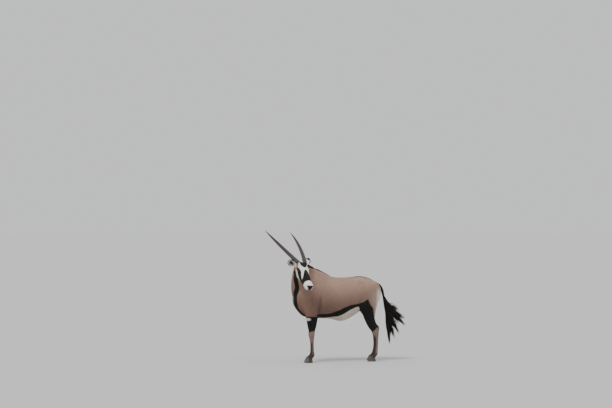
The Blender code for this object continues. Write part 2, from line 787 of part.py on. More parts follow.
def cut_nostrils(head):
    cutters = scratch("nostril_cutters")
    for side in (-1, 1):
        tree = skin_tree(head)
        way = HEAD.to_3x3() @ Vector((0.80, side * 0.58, 0.16))
        inside = HEAD @ Vector((0.322, side * 0.010, -0.044))
        hit = tree.ray_cast(inside + way * 0.12, -way)[0]
        piece = mass("nostril", (0, 0, 0), (0.0050, 0.0130, 0.0110), cutters, turn=(0, 0, side * 32),
                     within=facing(hit, way, HEAD.col[2].to_3d()))
        thin_out(piece, 120)
        boolean(head, piece, "DIFFERENCE")
        bpy.data.objects.remove(piece)
    bpy.data.collections.remove(cutters)


# Hooves. Claw rows: share from heel to toe, half outline width
CLAW_OUTLINE = ((0.00, 0.010), (0.06, 0.019), (0.22, 0.0255), (0.45, 0.0268), (0.68, 0.0225),
                (0.86, 0.0140), (0.97, 0.0050))
CLEFT = 0.0022
# Sole and top of a fore and a hind hoof: heel x and toe x, then the coronet's heel x, z and toe x, z
FORE_HOOF = (-0.388, -0.506, -0.390, 0.036, -0.468, 0.064)
HIND_HOOF = (0.478, 0.362, 0.474, 0.036, 0.398, 0.064)


def claw(name, hoof, shift, y, side):
    """Half of a cloven hoof: a flat sole, a steep outer wall and a flat top on the coronet."""
    heel, toe, top_heel, top_heel_z, top_toe, top_toe_z = hoof
    outline = [(share, width) for share, width in CLAW_OUTLINE]
    outline = outline + [(1.0, 0.0)] + [(0.75, 0.0), (0.5, 0.0), (0.25, 0.0), (0.0, 0.0)]
    rings = []
    for level, grow in ((0.0, 0.90), (0.06, 1.0), (0.5, 0.98), (1.0, 0.90)):
        ring = []
        for share, width in outline:
            shut = min(max(share, 0.0), 1.0)
            low = heel + (toe - heel) * (0.5 + (shut - 0.5) * (grow if level == 0.0 else 1.0))
            high = top_heel + (top_toe - top_heel) * shut
            top_z = top_heel_z + (top_toe_z - top_heel_z) * shut
            x = low + (high - low) * level
            ring.append(Vector((shift + x, y + side * (CLEFT + width * grow), top_z * level)))
        rings.append(ring)
    return loft(name, rings, bpy.context.scene.collection)


def coronet_frame(hoof, shift, y):
    """A frame on the plane between leg and hoof whose z axis points down to the hoof."""
    _, _, heel_x, heel_z, toe_x, toe_z = hoof
    along = Vector((toe_x - heel_x, 0, toe_z - heel_z)).normalized()
    down = Vector((0, 1, 0)).cross(along)
    if down.z > 0:
        down.negate()
    middle = Vector((shift + (heel_x + toe_x) / 2, y, (heel_z + toe_z) / 2))
    return facing(middle, down, Vector((0, 1, 0)))


# Building the nodes

def body_weight(points):
    """Smoothing share: full on the trunk, little on the lower legs and near the head."""
    height = np.clip((points[:, 2] - 0.55) / 0.15, 0, 1)
    near_head = np.clip((np.linalg.norm(points - np.array(FOREHEAD), axis=1) - 0.16) / 0.15, 0, 1)
    dock = np.clip((0.600 - points[:, 0]) / 0.03, 0, 1)
    return 0.06 + 0.94 * height * near_head * dock


def head_weight(points):
    """Smoothing share: full on the face, little on the roots of horns and ears."""
    share = np.ones(len(points))
    for side in (-1, 1):
        for frame, reach in ((horn_frame(side), HORN_RADIUS), (ear_frame(side), EAR_RADIUS)):
            root = np.array(frame.translation + 0.012 * frame.col[2].to_3d())
            share = np.minimum(share, np.clip((np.linalg.norm(points - root, axis=1) - reach) / 0.02, 0.1, 1))
    return share


def build_flesh():
    """Torso, neck and legs."""
    forms = scratch("forms")
    trunk(forms)
    neck(forms)
    skull(forms)
    for name, rows, x, shift, y in leg_places():
        leg(name, rows, x, shift, y, forms)
    leg_muscles(forms)
    tube("dock", DOCK[:5], forms, count=20, sides=16)
    mass("croup", (0.488, 0, 0.960), (0.110, 0.085, 0.070), forms, turn=(0, 30, 0))
    whole = fuse(join("torso", forms), BODY_VOXEL)
    relax(whole, 18, push_back=0, weight=body_weight)
    relax(whole, 8)
    thin_out(whole, BODY_TRIANGLES)
    mane = scratch("mane")
    mane_locks(mane)
    return fuse_with(whole, mane)


def build_head():
    """The head, from the same forms at a finer grain, with its neck end."""
    forms = scratch("head_forms")
    neck(forms)
    skull(forms)
    for side in (-1, 1):
        stub(f"horn_mound{side}", horn_frame(side), HORN_RADIUS * 1.10, HORN_COLLAR * 0.3, forms)
        stub(f"ear_mound{side}", ear_frame(side), EAR_RADIUS * 1.12, EAR_COLLAR[side] * 0.5, forms)
    whole = fuse(join("head", forms), HEAD_VOXEL)
    relax(whole, 9, push_back=0, weight=head_weight)
    relax(whole, 10)
    head = part_off(whole, "head_piece", HEAD_CUT, HEAD_BLOCK)
    bpy.data.objects.remove(whole)
    thin_out(head, HEAD_TRIANGLES)
    for side in (-1, 1):
        roots = scratch("roots")
        stub("horn_root", horn_frame(side), HORN_RADIUS * 0.985, HORN_COLLAR, roots)
        stub("ear_root", ear_frame(side), EAR_RADIUS, EAR_COLLAR[side], roots)
        for root in list(roots.objects):
            boolean(head, root, "UNION")
            bpy.data.objects.remove(root)
        bpy.data.collections.remove(roots)
        clear = build_horn(side, play=PART_GAP)
        boolean(head, clear, "DIFFERENCE")
        bpy.data.objects.remove(clear)
        cut_eye(head, side)
    cut_mouth(head)
    cut_nostrils(head)
    return keep_largest(head)


def trim(whole, frame, size):
    """Takes off what lies in a box, a thin gap below the box's bottom face."""
    outer = block(frame, size, PART_GAP)
    boolean(whole, outer, "DIFFERENCE")
    bpy.data.objects.remove(outer)


def build_tail():
    """The dock, drawn out into a core, and the long hair of its tuft."""
    forms = scratch("tail_forms")
    tube("tail", DOCK, forms, count=20, sides=12)
    whole = join("tail_whole", forms)
    locks = scratch("tuft_locks")
    tuft_locks(locks)
    fuse_with(whole, locks)
    tail = part_off(whole, "tail", TAIL_PLANE, (0.8, 0.4, 1.2))
    bpy.data.objects.remove(whole)
    return tail


NECK_CUT = facing((-0.480, 0, 1.000), (-0.852, 0, 0.524), Vector((0, 1, 0)))
HEAD_CUT = HEAD @ facing((-0.039, 0.0245, -0.152), (0.740, -0.150, 0.655), Vector((0, 1, 0)))
HEAD_BLOCK = (0.90, 0.90, 0.90)
TAIL_PLANE = facing(TAIL_CUT, (0.24, 0, -0.97), Vector((0, 1, 0)))


def build_legs(body):
    """The legs, cut off the body and then cut flat at the coronet, and their claws."""
    made = {}
    for name, _, x, shift, y in leg_places():
        side = math.copysign(1, y)
        if "front" in name:
            frame = facing((x + shift, side * 0.16, 0.556), (0, 0, -1), Vector((0, 1, 0)))
            size = (0.40, 0.31, 0.60)
            hoof = FORE_HOOF
        else:
            frame = facing((x + 0.95 * shift - 0.082, side * 0.16, 0.624), (0.316, 0, -0.949),
                           Vector((0, 1, 0)))
            size = (0.42, 0.31, 0.85)
            hoof = HIND_HOOF
        leg_piece = part_off(body, name, frame, size)
        trim(leg_piece, coronet_frame(hoof, shift, y), (0.3, 0.3, 0.2))
        made[name] = keep_largest(leg_piece)
        end = name.replace("leg_", "")
        for claw_side, which in ((-1, "a"), (1, "b")):
            made[f"hoof_{end}_{which}"] = claw(f"hoof_{end}_{which}", hoof, shift, y, claw_side)
    return made


def main():
    for item in list(bpy.data.objects):
        bpy.data.objects.remove(item)
    body = build_flesh()
    neck_piece = part_off(body, "neck", NECK_CUT, (1.2, 1.2, 1.2))
    spare = part_off(neck_piece, "spare", HEAD_CUT, HEAD_BLOCK)
    bpy.data.objects.remove(spare)
    trim(body, TAIL_PLANE, (0.066, 0.080, 0.30))
    made = build_legs(body)
    made["torso"] = keep_largest(body)
    made["neck"] = keep_largest(neck_piece)
    made["head"] = build_head()
    made["tail"] = build_tail()
    for side, word in ((1, "left"), (-1, "right")):
        made[f"horn_{word}"] = build_horn(side)
        made[f"ear_{word}"] = build_ear(side)
        made[f"eye_{word}"] = ball("eye", eye_frame(side).translation, EYE_RADIUS)
    colours = {"torso": FAWN, "neck": FAWN, "head": PALE, "tail": BLACK, "leg": BLACK, "horn": HORN,
               "ear": PALE, "eye": EYE, "hoof": HOOF}
    for name, piece in made.items():
        piece.name = name
        kind = name.split("_")[0]
        paint(piece, "paint_" + name, colours[kind], 0.12 if kind == "eye" else 0.8)
    for child in list(bpy.context.scene.collection.children):
        bpy.data.collections.remove(child)
    settle(made.values())


def settle(pieces):
    """Moves the whole so that the middle of its footprint is the origin and its soles are at z = 0."""
    low = Vector((math.inf,) * 3)
    high = -low
    for piece in pieces:
        for p in points_of(piece.data):
            low = Vector(map(min, low, p))
            high = Vector(map(max, high, p))
    shift = Vector((-(low.x + high.x) / 2, -(low.y + high.y) / 2, -low.z))
    for piece in pieces:
        piece.data.transform(Matrix.Translation(shift))
    bpy.context.scene["design_shift"] = shift


main()
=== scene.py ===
"""The looks of a life-size gemsbok: one skin, its coat of tufts, horns, hooves, eyes and long hair.

Metres, +Z up. The body faces -X and its left side is towards -Y. Positions named "design" are in
the frame that the body was drawn in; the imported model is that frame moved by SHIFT.
"""

import math
import random

import bmesh
import bpy
import numpy as np
from mathutils import Matrix, Vector
from mathutils.bvhtree import BVHTree


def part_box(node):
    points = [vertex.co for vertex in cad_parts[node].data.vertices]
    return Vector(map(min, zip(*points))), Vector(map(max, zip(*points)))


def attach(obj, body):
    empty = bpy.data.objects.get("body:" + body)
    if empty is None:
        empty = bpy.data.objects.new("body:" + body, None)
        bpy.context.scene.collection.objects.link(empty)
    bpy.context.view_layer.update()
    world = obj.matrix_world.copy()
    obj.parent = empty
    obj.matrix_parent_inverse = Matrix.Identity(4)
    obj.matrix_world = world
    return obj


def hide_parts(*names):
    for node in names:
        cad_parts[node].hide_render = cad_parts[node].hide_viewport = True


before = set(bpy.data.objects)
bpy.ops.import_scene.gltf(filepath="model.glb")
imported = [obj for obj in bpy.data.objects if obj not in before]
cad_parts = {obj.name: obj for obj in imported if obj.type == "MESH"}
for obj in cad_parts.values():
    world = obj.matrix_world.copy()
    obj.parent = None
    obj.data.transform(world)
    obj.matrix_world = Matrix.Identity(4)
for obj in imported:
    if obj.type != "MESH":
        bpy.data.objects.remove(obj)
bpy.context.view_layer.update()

# The head's own frame: x along the face to the nose, y to the animal's left, z out of the face
FOREHEAD = Vector((-0.600, -0.333, 1.262))
HEAD_YAW = math.radians(92)
HEAD_PITCH = math.radians(44)
HEAD_ROLL = math.radians(-7)
EYE_PLACE = Vector((0.080, 0.0575, -0.046))
EYE_AXIS = Vector((0.34, 0.90, 0.20))
EYE_RADIUS = 0.0195
EYE_OPENING = (0.0160, 0.0098)


def middle_of(node):
    low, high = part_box(node)
    return (Vector(low) + Vector(high)) / 2


def head_axes():
    forward = Vector((-math.cos(HEAD_YAW) * math.cos(HEAD_PITCH),
                      -math.sin(HEAD_YAW) * math.cos(HEAD_PITCH),
                      -math.sin(HEAD_PITCH)))
    level = Vector((math.sin(HEAD_YAW), -math.cos(HEAD_YAW), 0))
    left = level * math.cos(HEAD_ROLL) + forward.cross(level) * math.sin(HEAD_ROLL)
    return Matrix((forward, left, forward.cross(left))).transposed()


AXES = head_axes()
EYES_MIDDLE = (middle_of("eye_left") + middle_of("eye_right")) / 2
HEAD_ORIGIN = EYES_MIDDLE - AXES @ Vector((EYE_PLACE.x, 0, EYE_PLACE.z))
SHIFT = HEAD_ORIGIN - FOREHEAD
HEAD = Matrix.Translation(HEAD_ORIGIN) @ AXES.to_4x4()
TO_HEAD = np.array(AXES)
TO_DESIGN = np.array(SHIFT)

# Cut between head and neck, in the head's frame
HEAD_CUT_POINT = Vector((-0.039, 0.0245, -0.152))
HEAD_CUT_NORMAL = Vector((0.740, -0.150, 0.655))
ZIP_BACK = 0.05

# The right legs stand a little further back
RIGHT_LEG_BACK = 0.088

# Horns and ears, in the head's frame
HORN_LENGTH = 0.85
HORN_RADIUS = 0.028
HORN_ROOT = Vector((-0.016, 0.039, -0.014))
HORN_BACK = (math.radians(12.1), math.radians(19.2))
HORN_SPLAY = (math.radians(16.7), math.radians(2.8))
HORN_COLLAR = 0.013
EAR_ROOT = Vector((-0.038, 0.056, -0.080))
EAR_COLLAR = {1: 0.048, -1: 0.024}
EAR_LENGTH = 0.172
EAR_WAYS = {1: (Vector((-0.78, 0.60, 0.08)), Vector((0.0, -0.05, 1.0))),
            -1: (Vector((0.20, -0.80, 0.55)), Vector((0.93, 0.10, 0.36)))}

# How deep an ear's back lies behind its middle line, along its length
EAR_BACK = ((0.0, 0.10, 0.24, 0.42, 0.60, 0.78, 0.92, 1.0),
            (0.0165, 0.021, 0.028, 0.034, 0.037, 0.036, 0.030, 0.023))

# The dock, design frame: x, y, z, half width, half depth
DOCK = (
    (0.480, 0.000, 1.010, 0.036, 0.026),
    (0.566, 0.000, 0.972, 0.028, 0.024),
    (0.618, 0.000, 0.905, 0.021, 0.019),
    (0.640, 0.000, 0.825, 0.017, 0.015),
    (0.652, 0.000, 0.735, 0.015, 0.013),
    (0.668, 0.000, 0.640, 0.012, 0.011),
    (0.700, 0.002, 0.545, 0.008, 0.008),
)
STRANDS = (
    (0.60, 0.850, 0.678, 0.125, 150),
    (0.68, 0.952, 0.547, 0.095, 170),
    (0.76, 0.958, 0.457, 0.015, 170),
    (0.84, 0.862, 0.342, -0.035, 180),
    (0.92, 0.793, 0.284, -0.030, 200),
    (0.99, 0.724, 0.212, 0.000, 300),
)

# How fine the pieces are
BODY_VOXEL = 0.006
HEAD_VOXEL = 0.0022
BODY_TUFTS = 225000
HEAD_TUFTS = 62000
TUFTS_A_PIECE = 48000
ROOM = np.random.default_rng(7)

# A distance past everything
FAR = 9.0

# Colours, as sRGB bytes
FAWN_TOP = (166, 136, 121)
# The low flank's and the neck's fawns hold their own tone, darkened further as painted shade
FAWN_LOW_SHADED = (118, 93, 82)
FAWN_NECK_SHADED = (142, 113, 98)
FAWN_BREAST = (118, 92, 80)
PALE = (162, 144, 129)
WHITE = (232, 228, 221)
BELLY = (205, 194, 180)
BLACK = (13, 11, 10)
SHANK = (122, 104, 94)
BROWN = (46, 34, 28)
HORN_CREST, HORN_GROOVE = (70, 59, 53), (17, 14, 13)
CLAW_WORN, CLAW_DARK = (96, 84, 72), (44, 39, 36)
EYE_EDGE, IRIS, IRIS_GLOW, PUPIL = (34, 24, 20), (50, 30, 18), (78, 48, 28), (8, 6, 6)
LID_DARK = (24, 18, 16)


def linear(colour):
    c = np.asarray(colour, float) / 255
    return np.where(c <= 0.04045, c / 12.92, ((c + 0.055) / 1.055) ** 2.4)


# Small mesh tools

def facing(point, direction, hint=Vector((0, 0, 1))):
    """Matrix at a point whose z axis runs along a direction, with its y axis near a hint."""
    z = Vector(direction).normalized()
    x = Vector(hint).cross(z).normalized()
    y = z.cross(x)
    return Matrix.Translation(Vector(point)) @ Matrix((x, y, z)).transposed().to_4x4()


def side_place(place, side):
    return Vector((place.x, side * place.y, place.z))


def smooth_rows(rows, count):
    """Rows of numbers read at evenly spaced places along a Catmull-Rom curve through them."""
    rows = np.asarray(rows, float)
    ends = np.vstack([2 * rows[0] - rows[1], rows, 2 * rows[-1] - rows[-2]])
    made = []
    for place in np.linspace(0, len(rows) - 1, count):
        i = min(int(place), len(rows) - 2)
        t = place - i
        a, b, c, d = ends[i:i + 4]
        made.append(0.5 * (2 * b + (c - a) * t + (2 * a - 5 * b + 4 * c - d) * t ** 2
                           + (3 * b - a - 3 * c + d) * t ** 3))
    return np.array(made)


def link(name, data):
    piece = bpy.data.objects.new(name, data)
    bpy.context.scene.collection.objects.link(piece)
    return piece


def opened(mesh):
    work = bmesh.new()
    work.from_mesh(mesh)
    return work


def written(work, mesh):
    work.to_mesh(mesh)
    work.free()
    return mesh


def new_piece(work, name):
    return link(name, written(work, bpy.data.meshes.new(name)))


def loft(name, rings):
    """A closed mesh through rings of points, its two ends capped."""
    work = bmesh.new()
    loops = [[work.verts.new(p) for p in ring] for ring in rings]
    sides = len(rings[0])
    for low, high in zip(loops, loops[1:]):
        for k in range(sides):
            work.faces.new((low[k], low[(k + 1) % sides], high[(k + 1) % sides], high[k]))
    work.faces.new(loops[0][::-1])
    work.faces.new(loops[-1])
    bmesh.ops.recalc_face_normals(work, faces=work.faces)
    piece = new_piece(work, name)
    piece.data.shade_smooth()
    return piece


def joined(name, pieces):
    """One object from several, whose objects go."""
    work = bmesh.new()
    for piece in pieces:
        work.from_mesh(piece.data)
        bpy.data.objects.remove(piece)
    return new_piece(work, name)


def triangle_mesh(name, points, triangles, colours, patches=None, smooth=False):
    """A mesh straight from arrays: points, corner numbers, a colour a point and a UV a point."""
    mesh = bpy.data.meshes.new(name)
    mesh.vertices.add(len(points))
    mesh.vertices.foreach_set("co", np.ascontiguousarray(points, np.float32).ravel())
    mesh.loops.add(len(triangles) * 3)
    corners = np.ascontiguousarray(triangles, np.int32).ravel()
    mesh.loops.foreach_set("vertex_index", corners)
    mesh.polygons.add(len(triangles))
    mesh.polygons.foreach_set("loop_start", np.arange(0, len(corners), 3, dtype=np.int32))
    mesh.polygons.foreach_set("use_smooth", np.full(len(triangles), smooth))
    mesh.update(calc_edges=True)
    mesh.validate()
    set_colours(mesh, colours)
    if patches is not None:
        layer = mesh.uv_layers.new(name="OFBake")
        layer.uv.foreach_set("vector", np.ascontiguousarray(patches[corners], np.float32).ravel())
    return link(name, mesh)


def set_colours(mesh, colours):
    layer = mesh.color_attributes.new("coat_colour", "FLOAT_COLOR", "POINT")
    full = np.ones((len(colours), 4), np.float32)
    full[:, :3] = colours
    layer.data.foreach_set("color", full.ravel())


def points_of(mesh):
    flat = np.empty(len(mesh.vertices) * 3, np.float32)
    mesh.vertices.foreach_get("co", flat)
    return flat.reshape(-1, 3).astype(float)


def normals_of(mesh):
    flat = np.empty(len(mesh.vertices) * 3, np.float32)
    mesh.vertex_normals.foreach_get("vector", flat)
    return flat.reshape(-1, 3).astype(float)


def set_points(mesh, points):
    mesh.vertices.foreach_set("co", np.ascontiguousarray(points, np.float32).ravel())
    mesh.update()


def relax(mesh, rounds, push_back=0.53, share=None):
    """Rounds the creases between forms. With push_back the whole keeps its size."""
    points = points_of(mesh)
    ends = np.empty(len(mesh.edges) * 2, np.int32)
    mesh.edges.foreach_get("vertices", ends)
    a, b = ends.reshape(-1, 2).T
    count = len(points)
    neighbours = np.bincount(a, minlength=count) + np.bincount(b, minlength=count)
    share = np.ones(count) if share is None else share
    for _ in range(rounds):
        for step in (0.5, -push_back) if push_back else (0.5,):
            mean = np.stack([np.bincount(a, points[b, k], count) + np.bincount(b, points[a, k], count)
                             for k in range(3)], 1) / neighbours[:, None]
            points = points + (step * share)[:, None] * (mean - points)
    set_points(mesh, points)


def bake(piece):
    """Applies a piece's modifiers."""
    bpy.context.view_layer.update()
    graph = bpy.context.evaluated_depsgraph_get()
    made = bpy.data.meshes.new_from_object(piece.evaluated_get(graph))
    piece.modifiers.clear()
    piece.data = made
    return piece


def fuse(piece, voxel):
    remesh = piece.modifiers.new("skin", "REMESH")
    remesh.mode = "VOXEL"
    remesh.voxel_size = voxel
    return bake(piece)


def copy_of_node(node):
    return link("copy_" + node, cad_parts[node].data.copy())


# Fields over the body: where a point is, how long its hair is and which way it lies

def ramp(value, low, high):
    """0 at low, 1 at high, with an eased slope between."""
    share = np.clip((value - low) / (high - low), 0, 1)
    return share * share * (3 - 2 * share)


def band(value, low, high, soft):
    return ramp(value, low - soft, low + soft) * (1 - ramp(value, high - soft, high + soft))


def along_curve(x, places, values):
    return np.interp(x, places, values)


def unit(rows):
    return rows / np.maximum(np.linalg.norm(rows, axis=1, keepdims=True), 1e-9)


def ear_frame(side):
    direction, cup = EAR_WAYS[side]
    return HEAD @ facing(side_place(EAR_ROOT, side), direction, cup)


def in_frame(matrix, points):
    """Points in a frame's own coordinates."""
    back = np.array(matrix.inverted())
    return points @ back[:3, :3].T + back[:3, 3]


class Where:
    """The places of many skin points: design frame, head frame, both ears' frames."""

    def __init__(self, points, normals):
        self.points = points
        self.normals = normals
        self.design = points - TO_DESIGN
        self.head = (points - np.array(HEAD_ORIGIN)) @ TO_HEAD
        self.head_normals = normals @ TO_HEAD
        past_cut = (self.head - np.array(HEAD_CUT_POINT)) @ np.array(HEAD_CUT_NORMAL.normalized())
        self.past_cut = past_cut
        f, s, u = self.head.T
        reach = np.hypot(np.hypot(s, u + 0.08), f - np.clip(f, -0.10, 0.36))
        near = 1 - ramp(reach, 0.22, 0.26)
        self.is_head = ramp(past_cut, -0.02, 0.02) * near
        self.is_zip = (1 - ramp(np.abs(past_cut + ZIP_BACK), 0.010, 0.030)) * near
        self.ears = {}
        for side in (-1, 1):
            own = in_frame(ear_frame(side), points)
            along = own[:, 2] - EAR_COLLAR[side]
            width = np.hypot(own[:, 0], own[:, 1])
            inside = ramp(along, -0.025, 0.0) * (1 - ramp(width, 0.052, 0.058)) * (along < EAR_LENGTH + 0.02)
            back = along_curve(along / EAR_LENGTH, *EAR_BACK)
            inside = inside * (1 - ramp(-own[:, 1], back + 0.003, back + 0.007))
            self.ears[side] = (own, along / EAR_LENGTH, inside)
        self.is_ear = np.maximum(self.ears[1][2], self.ears[-1][2])
        x, y, z = self.design.T
        fore = 1 - ramp(x, -0.30, -0.22)
        hind = ramp(x, 0.16, 0.26)
        upper = np.where(x < 0, 0.62, 0.74)
        self.is_leg = np.maximum((1 - ramp(z, upper - 0.14, upper)) * np.maximum(fore, hind),
                                 1 - ramp(z, 0.44, 0.50))
        self.is_tail = ramp(x, 0.585, 0.61) * (1 - ramp(z, 0.90, 0.95))
        neck_axis = np.array([-0.852, 0, 0.524])
        self.is_neck = ramp((self.design - np.array([-0.44, 0, 1.0])) @ neck_axis, -0.05, 0.10)


def lie_of(place):
    """The way the hair runs, along the skin."""
    x, y, z = place.design.T
    count = len(x)
    slope = np.radians(along_curve(x, (-0.60, -0.40, -0.15, 0.20, 0.42, 0.56), (62, 48, 22, 16, 38, 82)))
    way = np.stack([np.cos(slope), np.zeros(count), -np.sin(slope)], 1)
    for share, direction in ((place.is_neck, (0.45, 0.40, -0.80)),
                             (place.is_leg, (0.10, 0.0, -1.0)),
                             (place.is_tail, (0.12, 0.0, -1.0))):
        way = way + share[:, None] * (np.array(direction) - way)
    h = place.head
    up_face = np.stack([-np.ones(count), np.sign(h[:, 1]) * 0.25 * ramp(-h[:, 2], 0.0, 0.06),
                        -0.55 * ramp(-h[:, 2], 0.02, 0.10)], 1) @ TO_HEAD.T
    way = way + place.is_head[:, None] * (up_face - way)
    for side in (-1, 1):
        tip_way = np.array(ear_frame(side).col[2].to_3d())
        way = way + place.ears[side][2][:, None] * (tip_way - way)
    way = way - (way * place.normals).sum(1, keepdims=True) * place.normals
    return unit(way)


def hair_length(place):
    x, y, z = place.design.T
    length = np.full(len(x), 0.0115)
    length += 0.005 * (1 - ramp(z, 0.56, 0.64)) * (1 - place.is_leg)
    length += 0.002 * place.is_neck
    length += (0.0070 - length) * place.is_leg
    fetlock = band(z, 0.075, 0.105, 0.012)
    length += 0.006 * fetlock * (place.normals[:, 0] > 0.2)
    length += (0.0058 - length) * place.is_head
    muzzle = ramp(place.head[:, 0], 0.20, 0.32) * place.is_head
    length += (0.0030 - length) * muzzle
    length += (0.0050 - length) * place.is_ear
    return length


def coat_depth(place):
    """How far the skin lies inside the solids."""
    return hair_length(place) * 0.22 * (1 - 0.85 * place.is_ear)


# Markings

def over(colour, share, new):
    return colour + share[:, None] * (linear(new) - colour)


def grain(points, scale, seed):
    """Smooth random numbers from -1 to 1, from a few crossing waves."""
    draw = random.Random(seed)
    total = np.zeros(len(points))
    for _ in range(7):
        way = np.array([draw.gauss(0, 1) for _ in range(3)])
        total += np.sin(points @ (way * scale) + draw.uniform(0, 6.28))
    return total / 4.2


def shape_share(across, up, outline, soft):
    """1 inside a flat outline and 0 outside it, with a soft edge."""
    outline = np.array(outline, float)
    nearest = np.full(len(across), FAR)
    inside = np.zeros(len(across), bool)
    for (a, b), (c, d) in zip(outline, np.roll(outline, -1, axis=0)):
        run, rise = c - a, d - b
        share = np.clip(((across - a) * run + (up - b) * rise) / (run * run + rise * rise), 0, 1)
        nearest = np.minimum(nearest, np.hypot(across - a - share * run, up - b - share * rise))
        if abs(rise) > 1e-9:
            inside ^= ((b > up) != (d > up)) & (across < run * (up - b) / rise + a)
    return ramp(np.where(inside, nearest, -nearest), -soft, soft)


# The black of thigh and gaskin, seen from the side: x and z
THIGH = ((0.344, 0.806), (0.290, 0.766), (0.236, 0.744), (0.214, 0.720), (0.244, 0.684), (0.270, 0.610),
         (0.290, 0.520), (0.318, 0.430), (0.345, 0.385), (0.405, 0.362), (0.452, 0.392), (0.500, 0.428),
         (0.520, 0.440), (0.500, 0.462), (0.463, 0.521), (0.441, 0.589), (0.420, 0.681), (0.378, 0.726))

# The black band of the flank: x, height of its middle, half width
FLANK = ((-0.46, 0.585, 0.012), (-0.34, 0.604, 0.014), (-0.162, 0.602, 0.025), (-0.045, 0.629, 0.040),
         (0.030, 0.662, 0.040), (0.094, 0.697, 0.034), (0.181, 0.722, 0.019), (0.241, 0.730, 0.022),
         (0.300, 0.736, 0.020))

# The black line of the back: x, half width
BACK_LINE = ((-0.30, 0.006), (-0.10, 0.006), (0.10, 0.010), (0.20, 0.030), (0.32, 0.060),
             (0.42, 0.084), (0.50, 0.082), (0.56, 0.052), (0.60, 0.036))


def shoulder_fold(place):
    x, y, z = place.design.T
    back = along_curve(z, (0.58, 0.72, 0.88), (-0.310, -0.303, -0.296))
    return np.exp(-((x - back) / 0.017) ** 2) * band(z, 0.60, 0.84, 0.06) * ramp(np.abs(y), 0.08, 0.12)


def folds(place):
    """How deep the skin's folds lie: behind the shoulder, before the thigh and round the throat."""
    x, y, z = place.design.T
    depth = 0.0050 * shoulder_fold(place)
    thigh = along_curve(z, (0.66, 0.80, 0.92), (0.235, 0.262, 0.320))
    outside = ramp(np.abs(y), 0.08, 0.12)
    depth += 0.0035 * np.exp(-((x - thigh) / 0.022) ** 2) * band(z, 0.70, 0.86, 0.05) * outside
    throat = np.exp(-((place.past_cut + 0.012) / 0.016) ** 2)
    throat = throat + 0.7 * np.exp(-((place.past_cut + 0.062) / 0.012) ** 2)
    under = ramp(-place.head[:, 2], 0.14, 0.20) * (1 - ramp(np.abs(place.past_cut), 0.09, 0.10))
    return depth + 0.0025 * throat * under * (np.abs(place.head[:, 1]) < 0.20)


